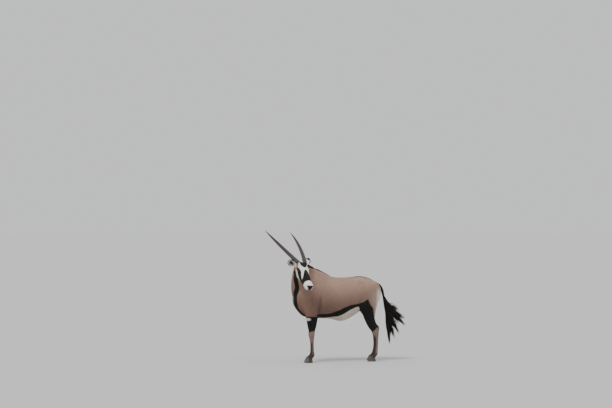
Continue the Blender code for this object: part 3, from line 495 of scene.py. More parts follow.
def body_markings(place, wave):
    x, y, z = place.design.T
    side = np.abs(y)
    normal_z = place.normals[:, 2]
    inner = ramp(-place.normals[:, 1] * np.sign(y), 0.25, 0.6)
    # Fawn, paler up the body: partly the coat's own tone, partly painted shade on the low flank and lower
    # neck
    colour = np.tile(linear(FAWN_LOW_SHADED), (len(x), 1))
    colour = over(colour, ramp(z, 0.66, 1.08), FAWN_TOP)
    colour = over(colour, 0.8 * place.is_neck * (1 - ramp(z, 1.12, 1.24)), FAWN_NECK_SHADED)
    breast = (1 - ramp(x, -0.40, -0.28)) * (1 - ramp(z, 0.72, 0.92))
    colour = over(colour, 0.8 * breast, FAWN_BREAST)

    # Pale back of the thigh, whitish at the very edge
    colour = over(colour, 0.8 * ramp(x, 0.34, 0.47) * (1 - ramp(z, 0.80, 0.98)), PALE)
    edge = ramp(x + wave, 0.440, 0.512) * (1 - ramp(z + 2 * wave, 0.84, 0.98)) * ramp(z, 0.50, 0.66)
    colour = over(colour, (0.55 + 0.35 * ramp(side, 0.05, 0.12)) * edge, WHITE)

    # Soft shade in the fold behind the shoulder
    colour = over(colour, 0.45 * shoulder_fold(place), BROWN)

    # White belly below a black band along the flank
    flank, thick = (along_curve(x, [r[0] for r in FLANK], [r[k] for r in FLANK]) for k in (1, 2))
    over_belly = ramp(x, -0.36, -0.33) * (1 - ramp(x, 0.28, 0.32))
    below = (1 - ramp(z + wave, flank - 0.010, flank)) * over_belly
    colour = over(colour, below, BELLY)
    middle_dark = (1 - ramp(x, -0.24, -0.12)) * below
    colour = over(colour, 0.75 * middle_dark, BLACK)
    line = band(z + wave, flank - thick, flank + thick, 0.005) * over_belly * ramp(side, 0.02, 0.05)
    colour = over(colour, line, BLACK)

    # Black thigh down to the hock, pale within
    hind = ramp(x, 0.19, 0.21)
    patch = shape_share(x + wave * 0.7, z + wave, THIGH, 0.006)
    colour = over(colour, patch * hind, BLACK)
    colour = over(colour, 0.85 * inner * band(z, 0.52, 0.74, 0.05) * ramp(x, 0.26, 0.32), BELLY)

    # Brisket and forearm
    fore = 1 - ramp(x, -0.30, -0.27)
    colour = over(colour, (1 - ramp(z + wave, 0.586, 0.600)) * fore, BLACK)
    forearm = np.hypot((x + 0.405 - RIGHT_LEG_BACK * (y > 0)) / 0.045, (z - 0.490) / 0.062) + 22 * wave
    colour = over(colour, 0.8 * inner * (1 - ramp(forearm, 0.6, 1.1)) * fore, BELLY)
    patch = 1 - ramp(np.hypot((x + 0.466) / 0.044, (z - 0.557) / 0.020) + 26 * wave, 0.45, 1.25)
    colour = over(colour, 0.7 * patch * ramp(side, 0.05, 0.08), WHITE)

    # Grey-brown shanks with a dark front
    knee = np.where(x < 0, 0.400 + 0.012 * place.normals[:, 0], 0.400 + 0.9 * (x - 0.452))
    knee = np.where(x < 0, knee, np.clip(knee, 0.362, 0.436))
    shank = 1 - ramp(z + wave, knee - 0.010, knee + 0.010)
    colour = over(colour, shank, SHANK)
    front = ramp(-place.normals[:, 0], -0.15, 0.55)
    top = np.where(x < 0, 0.27, 0.33)
    dark = shank * (1 - ramp(z + 2 * wave, top - 0.04, top + 0.02)) * ramp(z, 0.06, 0.09)
    colour = over(colour, 0.85 * dark * front, BLACK)
    colour = over(colour, 0.45 * dark * (1 - front) * (x < 0), BROWN)
    colour = over(colour, (1 - ramp(z, 0.075, 0.125)) * 0.80, BROWN)

    # Throat stripe, from the jaw down the front of the neck to the brisket
    throat = curve_distance(place.design, THROAT)
    half = along_curve(z, (0.60, 0.68, 0.86, 1.00), (0.040, 0.040, 0.034, 0.030))
    colour = over(colour, (1 - ramp(throat + wave * 0.6, half - 0.004, half + 0.006)), BLACK)

    # Dark line over withers and back, broad on the rump
    ridge = along_curve(x, [r[0] for r in BACK_LINE], [r[1] for r in BACK_LINE])
    on_top = np.maximum(ramp(normal_z, 0.1, 0.4) * ramp(z, 0.86, 0.92),
                        ramp(x, 0.50, 0.55) * ramp(z, 0.88, 0.92))
    line = (1 - ramp(side + wave * 0.5, ridge - 0.004, ridge + 0.006)) * on_top
    colour = over(colour, line * (1 - place.is_neck) * (0.6 + 0.4 * ramp(x, 0.14, 0.26)), BLACK)
    colour = over(colour, place.is_tail, BLACK)
    return over(colour, crest_share(place), BROWN)


def markings(place):
    """The coat's colours, linear, at each point."""
    wave = 0.005 * grain(place.points, 14, 3) + 0.002 * grain(place.points, 50, 4)
    patchy = 1 + 0.09 * grain(place.points, 9, 6) + 0.05 * grain(place.points, 26, 7)
    colour = body_markings(place, wave) * patchy[:, None]
    face = face_markings(place, wave)
    colour = colour + place.is_head[:, None] * (face - colour)
    ears = ear_markings(place)
    return colour + place.is_ear[:, None] * (ears - colour)


# Lines on the skin: crest of the neck from withers to nape, throat from brisket to jaw
WITHERS = ((-0.120, 0, 1.105), (-0.190, 0, 1.130))
CREST = ((-0.265, 0, 1.165), (-0.355, 0, 1.200), (-0.440, -0.060, 1.232), (-0.525, -0.145, 1.258))
THROAT = ((-0.430, -0.020, 0.590), (-0.480, -0.014, 0.605), (-0.555, -0.014, 0.672), (-0.592, -0.032, 0.745),
          (-0.600, -0.037, 0.800), (-0.601, -0.040, 0.852), (-0.600, -0.060, 0.900), (-0.594, -0.090, 0.942),
          (-0.600, -0.104, 0.985), (-0.616, -0.123, 1.030), (-0.624, -0.138, 1.071), (-0.650, -0.190, 1.108),
          (-0.664, -0.222, 1.145), (-0.672, -0.248, 1.170))


def curve_distance(points, line):
    """Distance from points to a smooth line."""
    best = np.full(len(points), FAR)
    for place in smooth_rows(line, 60):
        best = np.minimum(best, ((points - place) ** 2).sum(1))
    return np.sqrt(best)


def crest_line():
    nape = np.array(AXES @ Vector((-0.082, 0, -0.068)) + FOREHEAD)
    return np.vstack([CREST, nape])


def crest_share(place):
    return (1 - ramp(curve_distance(place.design, crest_line()), 0.012, 0.020)) * 0.9


# The face, laid out by the distance along it and the distance from its middle line
FOREHEAD_PATCH = ((0.062, 0.0), (0.054, 0.014), (0.034, 0.034), (0.002, 0.048), (-0.020, 0.054),
                  (-0.045, 0.044), (-0.070, 0.0))
BLAZE = ((0.092, 0.0), (0.102, 0.012), (0.120, 0.024), (0.160, 0.038), (0.205, 0.050), (0.240, 0.057),
         (0.268, 0.058), (0.277, 0.030), (0.274, 0.0))
# Front and rear edge of the eye stripe: distance along the face and height over its middle
STRIPE_FRONT = ((-0.030, -0.050), (-0.008, -0.044), (0.026, -0.036), (0.052, -0.026), (0.081, -0.017),
                (0.109, -0.023), (0.138, -0.038), (0.173, -0.062), (0.210, -0.072), (0.235, -0.062),
                (0.270, -0.040))
STRIPE_REAR = ((-0.030, -0.058), (0.011, -0.064), (0.070, -0.082), (0.119, -0.108), (0.160, -0.132),
               (0.205, -0.140), (0.240, -0.132), (0.270, -0.120))


def mirrored(outline):
    return outline + tuple((f, -s) for f, s in outline[::-1] if s)


def face_markings(place, wave):
    """White face, black forehead patch, blaze, eye stripes and jaw strap."""
    f, s, u = place.head.T
    f = f + wave * 0.5
    side = np.abs(s)
    colour = np.tile(linear(WHITE), (len(f), 1))
    patch = shape_share(f, s + wave * 0.3, mirrored(FOREHEAD_PATCH), 0.003) * ramp(u, -0.08, -0.06)
    colour = over(colour, patch, BLACK)
    blaze = shape_share(f, s + wave * 0.3, mirrored(BLAZE), 0.003) * ramp(u, -0.085, -0.065)
    colour = over(colour, blaze, BLACK)

    # Stripe from the horn through the eye to the corner of the mouth, and to the blaze's lower end
    front, rear = (along_curve(f, *zip(*edge)) for edge in (STRIPE_FRONT, STRIPE_REAR))
    stripe = band(u + wave * 0.4, rear, front, 0.003)
    stripe = stripe * band(f, -0.024, 0.272, 0.005) * ramp(side, 0.024, 0.032)
    colour = over(colour, stripe, BLACK)

    # Painted shade: the cheek behind the stripe is dulled towards pale fawn
    colour = over(colour, 0.40 * (1 - ramp(u, rear - 0.012, rear + 0.004)) * (f < 0.25), PALE)

    # Jaw strap, from below the ear round the jaw's corner to the throat
    lower = along_curve(f, (-0.05, -0.022, 0.020, 0.064, 0.103, 0.150, 0.190, 0.215),
                        (-0.088, -0.094, -0.106, -0.124, -0.142, -0.152, -0.154, -0.170))
    strap = (1 - ramp(u + wave * 0.5, lower - 0.004, lower + 0.003))
    colour = over(colour, strap, BLACK)
    rear = along_curve(u, (-0.19, -0.16, -0.133, -0.10, -0.07), (-0.004, -0.014, -0.024, -0.036, -0.046))
    throat = 1 - ramp(curve_distance(place.design, THROAT) + wave * 0.6, 0.030, 0.042)
    behind = (1 - ramp(f, rear - 0.004, rear + 0.004)) * (1 - ramp(u, -0.075, -0.055))
    # Neck fawn behind the jaw, darkened as painted shade
    colour = over(colour, behind * (1 - throat), FAWN_NECK_SHADED)
    nape = (1 - ramp(f, -0.066, -0.052)) * ramp(u, -0.10, -0.07)
    colour = over(colour, nape, BROWN)

    # Bare skin of nostrils and lips
    colour = over(colour, nose_share(place.head), BLACK)
    mouth = 1 - ramp(np.abs(u - along_curve(f, (0.256, 0.316), (-0.091, -0.083))), 0.002, 0.006)
    colour = over(colour, mouth * ramp(f, 0.25, 0.265) * 0.8, BROWN)
    return over(colour, 1 - ramp(eye_distance(place.head), 0.0205, 0.0235), BLACK)


def eye_distance(head):
    right, left = (np.array(side_place(EYE_PLACE, side)) for side in (-1, 1))
    return np.minimum(np.linalg.norm(head - right, axis=1), np.linalg.norm(head - left, axis=1))


# The nostril in the head's frame, its half sizes, and the bare pad between: height, half width
NOSTRIL = (0.352, 0.030, -0.037)
NOSTRIL_SIZE = (0.017, 0.014, 0.013)
NOSE_PAD = ((-0.092, -0.075, -0.055, -0.040, -0.030, -0.022), (0.007, 0.016, 0.028, 0.035, 0.032, 0.018))


def nose_share(head):
    """The bare skin round the nostrils and between them down to the lip."""
    f, s, u = head.T
    side = np.abs(s)
    far, wide, high = ((own - middle) / half
                       for own, middle, half in zip((f, side, u), NOSTRIL, NOSTRIL_SIZE))
    holes = np.hypot(np.hypot(far, wide), high)
    pad = np.maximum(side / along_curve(u, *NOSE_PAD), np.abs(u + 0.055) / 0.033)
    pad = np.where(f > 0.335, pad, FAR)
    return 1 - ramp(np.minimum(pad, holes), 0.86, 1.10)


EAR_EDGE = ((0.0, 0.10, 0.24, 0.42, 0.60, 0.78, 0.92, 1.0),
            (0.016, 0.0205, 0.031, 0.0415, 0.0445, 0.0365, 0.019, 0.003))


def ear_markings(place):
    """Fawn backs, white cups with painted shade in their hollow, black rims and tips."""
    colour = np.zeros((len(place.points), 3))
    for side in (-1, 1):
        own, along, inside = place.ears[side]
        cup = place.normals @ np.array(ear_frame(side).col[1].to_3d())
        mine = np.tile(linear(FAWN_TOP), (len(along), 1))
        mine = over(mine, ramp(cup, -0.05, 0.25), WHITE)
        rim = np.abs(own[:, 0])
        edge = along_curve(along, *EAR_EDGE)
        mine = over(mine, ramp(rim, edge * 0.62, edge * 0.78) * ramp(along, 0.30, 0.52), BLACK)
        mine = over(mine, ramp(along, 0.78, 0.86), BLACK)
        # Painted shade deep in the cup, reaching further up the right ear than the left
        deep = ramp(cup, 0.2, 0.6) * (1 - ramp(rim, edge * 0.40, edge * 0.62))
        deep = deep * (band(along, 0.16, 0.66, 0.08) if side < 0 else band(along, 0.10, 0.30, 0.08))
        mine = over(mine, deep * 0.92, BLACK)
        colour = colour + (inside >= place.ears[-side][2])[:, None] * (mine - colour)
    return colour


# The skin. Body and head are fused apart, and meet ZIP_BACK behind the head on the neck
ZIP_SLACK = 0.002
NECK_REACH = 0.24
OVERLAP = 0.007
WELD = 0.00002
BODY_ROUNDS = 9
HEAD_ROUNDS = 4
ZIP_ROUNDS = 6


def cut_open(piece, point, normal, reach=FAR):
    """Removes what lies beyond a plane, within reach of a point, and leaves that side open."""
    work = opened(piece.data)
    faces = [f for f in work.faces if (f.calc_center_median() - point).length < reach]
    verts = list({v for f in faces for v in f.verts})
    edges = list({e for f in faces for e in f.edges})
    bmesh.ops.bisect_plane(work, geom=verts + edges + faces, plane_co=point, plane_no=normal,
                           clear_outer=True)
    written(work, piece.data)


def cut_neck_end(piece, point, normal):
    """Opens the neck's end beyond a plane and leaves an ear that reaches past the plane whole."""
    work = opened(piece.data)
    everything = work.verts[:] + work.edges[:] + work.faces[:]
    bmesh.ops.bisect_plane(work, geom=everything, plane_co=point, plane_no=normal)
    beyond = {f for f in work.faces if (f.calc_center_median() - point).dot(normal) > 0}
    largest = []
    while beyond:
        rim = [beyond.pop()]
        group = list(rim)
        while rim:
            for near in {f for e in rim.pop().edges for f in e.link_faces}:
                if near in beyond:
                    beyond.remove(near)
                    rim.append(near)
                    group.append(near)
        largest = max(largest, group, key=len)
    bmesh.ops.delete(work, geom=largest, context="FACES")
    written(work, piece.data)


def largest_part(piece):
    """Keeps only the piece's largest connected surface."""
    work = opened(piece.data)
    unseen, groups = set(work.verts), []
    while unseen:
        rim, group = [unseen.pop()], []
        while rim:
            vert = rim.pop()
            group.append(vert)
            for other in (line.other_vert(vert) for line in vert.link_edges):
                if other in unseen:
                    unseen.discard(other)
                    rim.append(other)
        groups.append(group)
    groups.sort(key=len)
    for group in groups[:-1]:
        bmesh.ops.delete(work, geom=group, context="VERTS")
    written(work, piece.data)


def open_loops(work):
    """The closed lines of open edges, longest first."""
    after = {}
    for edge in work.edges:
        if edge.is_boundary:
            for vert in edge.verts:
                after.setdefault(vert, []).append(edge)
    loops, used = [], set()
    for start in after:
        if start in used:
            continue
        loop, vert, came = [start], start, None
        used.add(start)
        while True:
            ways = [e for e in after[vert] if e is not came]
            came = ways[0]
            vert = came.other_vert(vert)
            if vert is start or vert in used:
                break
            used.add(vert)
            loop.append(vert)
        loops.append(loop)
    return sorted(loops, key=len, reverse=True)


def zip_together(first, second, name, point, normal):
    """Joins two open surfaces whose open edges run round the same plane."""
    work = opened(first.data)
    count = len(work.verts)
    work.from_mesh(second.data)
    work.verts.ensure_lookup_table()
    work.verts.index_update()
    loops = open_loops(work)
    mine = next(loop for loop in loops if loop[0].index < count)
    other = next(loop for loop in loops if loop[0].index >= count)
    centre = sum((v.co for v in mine), Vector()) / len(mine)
    turn = facing(point, normal).to_3x3().inverted()

    def ordered(loop):
        angles = []
        for vert in loop:
            flat = turn @ (vert.co - centre)
            angles.append(math.atan2(flat.y, flat.x))
        if sum(1 for a, b in zip(angles, angles[1:]) if b > a) < len(loop) / 2:
            loop, angles = loop[::-1], angles[::-1]
        low = angles.index(min(angles))
        return loop[low:] + loop[:low], angles[low:] + angles[:low]

    mine, mine_angles = ordered(mine)
    other, other_angles = ordered(other)
    added = []
    i = j = 0
    while i < len(mine) or j < len(other):
        a, b = mine[i % len(mine)], other[j % len(other)]
        next_mine = mine_angles[i + 1] if i + 1 < len(mine) else mine_angles[0] + 2 * math.pi
        next_other = other_angles[j + 1] if j + 1 < len(other) else other_angles[0] + 2 * math.pi
        if j >= len(other) or (i < len(mine) and next_mine <= next_other):
            i += 1
            added.append(work.faces.new((a, b, mine[i % len(mine)])))
        else:
            j += 1
            added.append(work.faces.new((a, b, other[j % len(other)])))
    added += bmesh.ops.holes_fill(work, edges=[e for e in work.edges if e.is_boundary], sides=0)["faces"]
    new = set(added)
    for face in added:
        for corner in face.loops:
            beside = [near for near in corner.edge.link_loops if near.face not in new]
            if beside:
                if beside[0].vert == corner.vert:
                    face.normal_flip()
                break
    for piece in (first, second):
        bpy.data.objects.remove(piece)
    return new_piece(work, name)


def dock_tube():
    rows = smooth_rows(DOCK, 40)
    centres = [Vector(r[:3]) + SHIFT for r in rows]
    rings = []
    for i, (centre, row) in enumerate(zip(centres, rows)):
        along = (centres[min(i + 1, 39)] - centres[max(i - 1, 0)]).normalized()
        depth = along.cross(Vector((0, 1, 0))).normalized()
        rings.append([centre + Vector((0, row[3] * math.cos(a), 0)) + depth * row[4] * math.sin(a)
                      for a in np.linspace(0, 2 * math.pi, 21)[:20]])
    return loft("dock", rings)


def neck_copy():
    """The neck, hollowed a little below the left ear so that the two don't melt together."""
    piece = copy_of_node("neck")
    work = opened(piece.data)
    bmesh.ops.remove_doubles(work, verts=work.verts, dist=WELD)
    written(work, piece.data)
    points = points_of(piece.data)
    own = in_frame(ear_frame(1), points)
    along = own[:, 2] - EAR_COLLAR[1]
    near = (1 - ramp(np.hypot(own[:, 0], own[:, 1]), 0.05, 0.12)) * band(along, 0.03, 0.20, 0.03)
    set_points(piece.data, points - normals_of(piece.data) * (0.008 * near)[:, None])
    return piece


def build_skin():
    """One skin over torso, neck, head, ears, legs and dock."""
    cut_normal = (AXES @ HEAD_CUT_NORMAL).normalized()
    cut_point = HEAD @ HEAD_CUT_POINT
    zip_point = cut_point - cut_normal * ZIP_BACK

    body_nodes = ["torso"] + [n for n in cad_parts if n.startswith("leg_")]
    body = joined("body_skin", [copy_of_node(n) for n in body_nodes] + [neck_copy(), dock_tube()])
    fuse(body, BODY_VOXEL)
    relax(body.data, BODY_ROUNDS)
    cut_open(body, zip_point - cut_normal * ZIP_SLACK, cut_normal, NECK_REACH)
    largest_part(body)

    sleeve = neck_copy()
    cut_open(sleeve, zip_point - cut_normal * ZIP_BACK, -cut_normal)
    points = points_of(sleeve.data)
    at_head = Where(points, points).past_cut > -0.004
    set_points(sleeve.data, points + at_head[:, None] * np.array(cut_normal) * OVERLAP)
    head_parts = [copy_of_node(n) for n in ("head", "ear_left", "ear_right")]
    head = joined("head_skin", head_parts + [closed(sleeve)])
    fuse(head, HEAD_VOXEL)
    relax(head.data, HEAD_ROUNDS)
    cut_neck_end(head, zip_point + cut_normal * ZIP_SLACK, -cut_normal)
    largest_part(head)

    skin = zip_together(body, head, "skin", zip_point, cut_normal)
    mesh = skin.data
    place = Where(points_of(mesh), normals_of(mesh))
    set_points(mesh, place.points - place.normals * (coat_depth(place) + folds(place))[:, None])
    relax(mesh, ZIP_ROUNDS, push_back=0, share=place.is_zip * (1 - place.is_ear))
    place = Where(points_of(mesh), normals_of(mesh))
    set_colours(mesh, markings(place))
    mesh.shade_smooth()
    return skin


def closed(piece):
    work = opened(piece.data)
    bmesh.ops.holes_fill(work, edges=[e for e in work.edges if e.is_boundary], sides=0)
    written(work, piece.data)
    return piece


# The coat

def atlas_place(place):
    """Where a skin point lies on an unwrap of the skin, part by part, from 0 to 1."""
    x, y, z = place.design.T
    count = len(x)
    turn = np.arctan2(y, z - along_curve(x, (-0.6, 0.0, 0.6), (0.86, 0.82, 0.90))) / (2 * math.pi) + 0.5
    uv = np.stack([0.02 + 0.46 * (x + 0.62) / 1.24, 0.02 + 0.46 * turn], 1)

    leg_column = 0.52 + 0.115 * ((x > 0) * 2 + (y > 0))
    foot_x = np.where(x < 0, -0.40, 0.44) + np.where(y > 0, 0.088, 0)
    foot_y = np.where(y < 0, -1, 1) * np.where(x < 0, 0.115, 0.122)
    leg_turn = np.arctan2(y - foot_y, x - foot_x) / (2 * math.pi) + 0.5
    leg = np.stack([leg_column + 0.10 * leg_turn, 0.02 + 0.46 * np.clip(z / 0.8, 0, 1)], 1)
    uv = np.where((place.is_leg > 0.5)[:, None], leg, uv)

    tail = np.stack([0.98 + 0.0 * x, 0.02 + 0.46 * z], 1)
    uv = np.where((place.is_tail > 0.5)[:, None], tail, uv)

    neck_turn = np.arctan2(x + 0.56, z - 1.05) / (2 * math.pi) + 0.5
    neck = np.stack([0.02 + 0.28 * neck_turn, 0.52 + 0.46 * np.clip((0.1 - y) / 0.4, 0, 1)], 1)
    uv = np.where((place.is_neck > 0.5)[:, None], neck, uv)

    f, s, u = place.head.T
    face_turn = np.arctan2(s, u + 0.07) / (2 * math.pi) + 0.5
    face = np.stack([0.33 + 0.33 * face_turn, 0.52 + 0.46 * np.clip((f + 0.15) / 0.55, 0, 1)], 1)
    uv = np.where((place.is_head > 0.5)[:, None], face, uv)
    for side, low in ((-1, 0.69), (1, 0.84)):
        own, along, inside = place.ears[side]
        front = (place.normals @ np.array(ear_frame(side).col[1].to_3d())) > 0
        ear = np.stack([low + 0.035 + 0.033 * own[:, 0] / 0.05 + 0.075 * front,
                        0.52 + 0.46 * np.clip(along, 0, 1)], 1)
        uv = np.where((inside > 0.5)[:, None], ear, uv)
    return np.clip(uv, 0.004, 0.996)


def scatter(mesh, count, weight):
    """Random places on a mesh: points, normals. weight gives each triangle's share."""
    mesh.calc_loop_triangles()
    corners = np.empty(len(mesh.loop_triangles) * 3, np.int32)
    mesh.loop_triangles.foreach_get("vertices", corners)
    corners = corners.reshape(-1, 3)
    points, normals = points_of(mesh), normals_of(mesh)
    a, b, c = (points[corners[:, k]] for k in range(3))
    area = np.linalg.norm(np.cross(b - a, c - a), axis=1) / 2
    chance = area * weight((a + b + c) / 3)
    picked = ROOM.choice(len(corners), count, p=chance / chance.sum())
    r, t = np.sqrt(ROOM.random(count)), ROOM.random(count)
    shares = np.stack([1 - r, r * (1 - t), r * t], 1)
    spot = sum(points[corners[picked, k]] * shares[:, k:k + 1] for k in range(3))
    out = sum(normals[corners[picked, k]] * shares[:, k:k + 1] for k in range(3))
    return spot, unit(out)


def tufts(name, mesh, count, weight):
    """Short hair as slim closed spikes that lie along the coat."""
    spot, out = scatter(mesh, count, weight)
    place = Where(spot, out)
    lie = lie_of(place)
    across = unit(np.cross(out, lie))
    stray = ROOM.normal(0, 0.16, count)[:, None]
    lie = unit(lie + across * stray)
    across = unit(np.cross(out, lie))
    length = (hair_length(place) * ROOM.uniform(0.72, 1.25, count))[:, None]
    lift = np.radians(ROOM.uniform(4, 12, count))[:, None]
    wide = length * 0.075 + 0.0003
    sink = wide * 0.55
    left = spot + across * wide - out * sink
    right = spot - across * wide - out * sink
    ridge = spot + out * 0.0001
    tip = spot + lie * length * np.cos(lift) + out * length * np.sin(lift)
    points = np.stack([left, right, ridge, tip], 1).reshape(-1, 3)
    numbers = np.arange(count)[:, None, None] * 4
    shape = np.array([[0, 2, 1], [0, 3, 2], [2, 3, 1], [1, 3, 0]])[None]
    triangles = (numbers + shape).reshape(-1, 3)
    tone = (1 + ROOM.normal(0, 0.09, count))[:, None]
    colour = np.clip(markings(place) * tone, 0.002, 1)
    colours = np.stack([colour * 0.80, colour * 0.80, colour * 0.9, colour * 1.08], 1).reshape(-1, 3)
    centre = atlas_place(place)
    corner = np.array([[-1, -1], [1, -1], [0, 0], [0, 1]]) * 0.0015
    patches = (centre[:, None, :] + corner[None]).reshape(-1, 2)
    made = []
    for k, low in enumerate(range(0, count, TUFTS_A_PIECE)):
        high = min(low + TUFTS_A_PIECE, count)
        made.append(triangle_mesh(f"{name}_{k + 1}", points[low * 4:high * 4],
                                  triangles[low * 4:high * 4] - low * 4,
                                  colours[low * 4:high * 4], patches[low * 4:high * 4]))
    return made


def strands(name, locks, rows, patch_uv, wave=0.0):
    """Long hair as slim closed locks of three sides along bent lines.

    A lock is its root, bend, tip, half width, the way it lies across, and its colour.
    """
    roots, bends, tips, widths, ways, colours = (np.array(column, float) for column in zip(*locks))
    count = len(roots)
    rings = len(rows)
    corners = np.radians([90, 210, 330])
    points = []
    phase, turns = ROOM.uniform(0, 6.28, count), ROOM.uniform(0.6, 1.5, count)
    swing = unit(ROOM.normal(0, 1, (count, 3)) * (1, 0.5, 1)) * ROOM.uniform(0.3, 1.0, (count, 1)) * wave
    for share, grow in rows:
        centre = roots * (1 - share) ** 2 + bends * 2 * share * (1 - share) + tips * share ** 2
        centre = centre + swing * (np.sin(phase + 6.28 * turns * share) * share ** 0.7)[:, None]
        along = unit((bends - roots) * (1 - share) + (tips - bends) * share)
        across = unit(np.cross(along, ways))
        out = np.cross(across, along)
        half = widths[:, None] * grow
        points.append(np.stack([centre + across * half * math.cos(c) + out * half * 0.45 * math.sin(c)
                                for c in corners], 1))
    points = np.stack(points, 1).reshape(-1, 3)
    shape = [[0, 2, 1]]
    for ring in range(rings - 1):
        for k in range(3):
            a, b = ring * 3 + k, ring * 3 + (k + 1) % 3
            shape += [[a, b, b + 3], [a, b + 3, a + 3]]
    last = (rings - 1) * 3
    shape += [[last, last + 1, last + 2]]
    shape = np.array(shape)
    triangles = (np.arange(count)[:, None, None] * rings * 3 + shape[None]).reshape(-1, 3)
    colour = np.repeat(colours, rings * 3, axis=0)
    offsets = ROOM.uniform(-0.0015, 0.0015, (rings * 3, 2))
    patches = (patch_uv[:, None, :] + offsets[None]).reshape(-1, 2)
    return triangle_mesh(name, points, triangles, colour, patches, smooth=True)


# A lock's rings: place along it, share of its full width
LONG_ROWS = ((0.0, 0.55), (0.10, 0.95), (0.22, 1.0), (0.36, 0.97), (0.50, 0.90), (0.64, 0.76), (0.77, 0.58),
             (0.89, 0.36), (1.0, 0.06))
SHORT_ROWS = ((0.0, 0.8), (0.35, 1.0), (0.72, 0.6), (1.0, 0.06))
LOOSE_SHARE = 0.38


def build_tail_hair():
    """The tuft: fine wavy locks, most of them gathered in strands that sweep back from the dock."""
    draw = random.Random(21)
    dock = smooth_rows(DOCK, 80)
    locks = []
    for strand in range(len(STRANDS)):
        for k in range(STRANDS[strand][4]):
            loose = draw.random() < LOOSE_SHARE
            blend = min(max(strand + (draw.uniform(-0.75, 0.75) if loose else draw.gauss(0, 0.05)), 0),
                        len(STRANDS) - 1)
            low, x, z, sag = (float(np.interp(blend, range(len(STRANDS)), [row[c] for row in STRANDS]))
                              for c in range(4))
            share = min(max(low + draw.uniform(-0.16, 0.06), 0.40), 0.995)
            row = dock[int(share * 79)]
            angle = draw.uniform(0, 2 * math.pi)
            root = Vector(row[:3]) + Vector((row[4] * math.cos(angle), row[3] * math.sin(angle), 0)) * 0.6
            spread = draw.gauss(0, 1)
            reach = draw.uniform(0.55, 0.98) ** 0.6 * (0.82 if loose else 1.0)
            tip = Vector((x, draw.gauss(0, 0.016), z)) + Vector((-0.35, 0, 1)) * spread * 0.016
            tip = root + (tip - root) * reach
            hang = (sag + spread * 0.012) * reach + 0.012
            bend = (root + tip) / 2 - Vector((draw.gauss(0, 0.008), 0, hang))
            bend.y = root.y + draw.gauss(0, 0.018)
            width = draw.uniform(0.0018, 0.0036)
            way = (draw.uniform(-0.5, 0.5), 1, draw.uniform(-0.5, 0.5))
            # Black locks, some with brown mixed in as a painted sheen
            shade = linear(BLACK) * draw.uniform(0.7, 1.6) + linear(BROWN) * max(0, draw.gauss(0, 0.30))
            locks.append((root + SHIFT, bend + SHIFT, tip + SHIFT, width, way, shade))
    places = np.array([(0.985, 0.02 + 0.46 * lock[0].z) for lock in locks])
    return strands("tail_hair", locks, LONG_ROWS, places, wave=0.011)


# The mane's locks, and how far from an ear's middle line they stay
MANE_LOCKS = 2600
EAR_CLEARANCE = 0.042


def on_ear(point):
    """Whether a point lies on an ear or where its root meets the neck."""
    for side in EAR_COLLAR:
        own = in_frame(ear_frame(side), np.array([point]))[0]
        if own[2] > EAR_COLLAR[side] and math.hypot(own[0], own[1]) < EAR_CLEARANCE:
            return True
    return False


def build_mane(skin_tree):
    """Short dark hair along the crest of the neck, leaning back."""
    draw = random.Random(8)
    line = smooth_rows(np.vstack([WITHERS, crest_line()]), 240)
    throat = smooth_rows(THROAT, 240)
    locks = []
    for k in range(MANE_LOCKS):
        place = int(draw.uniform(0.02, 0.985) * 238)
        top = Vector(line[place])
        out = (top - Vector(throat[place])).normalized()
        back = (Vector(line[max(place - 1, 0)]) - Vector(line[place + 1])).normalized()
        side = out.cross(back).normalized()
        start = top + SHIFT + side * draw.gauss(0, 0.0055) + out * 0.06
        hit = skin_tree.ray_cast(start, -out, 0.12)[0]
        if hit is None or on_ear(hit):
            continue
        length = draw.uniform(0.026, 0.042) * (0.40 + 0.60 * min(1.0, place / 90))
        root = hit - out * 0.003
        tip = root + out * length * 0.45 + back * length * 0.85 + side * draw.gauss(0, 0.006)
        bend = root + out * length * 0.42 + back * length * 0.20
        width = draw.uniform(0.0012, 0.0022)
        locks.append((root, bend, tip, width, side, linear(BROWN) * draw.uniform(0.25, 1.0)))
    places = np.array([(0.16, 0.55 + 0.4 * k / len(locks)) for k in range(len(locks))])
    return strands("mane_hair", locks, SHORT_ROWS, places)


# Horns, hooves and eyes

def horn_direction(side, share):
    back = HORN_BACK[0] + (HORN_BACK[1] - HORN_BACK[0]) * share
    splay = HORN_SPLAY[0] + (HORN_SPLAY[1] - HORN_SPLAY[0]) * share
    return Vector((-math.cos(back) * math.cos(splay), side * math.sin(splay),
                   -math.sin(back) * math.cos(splay)))


HORN_RINGS = 27
HORN_REACH = HORN_LENGTH - 0.0040
HORN_STEPS = 420
HORN_SIDES = 30


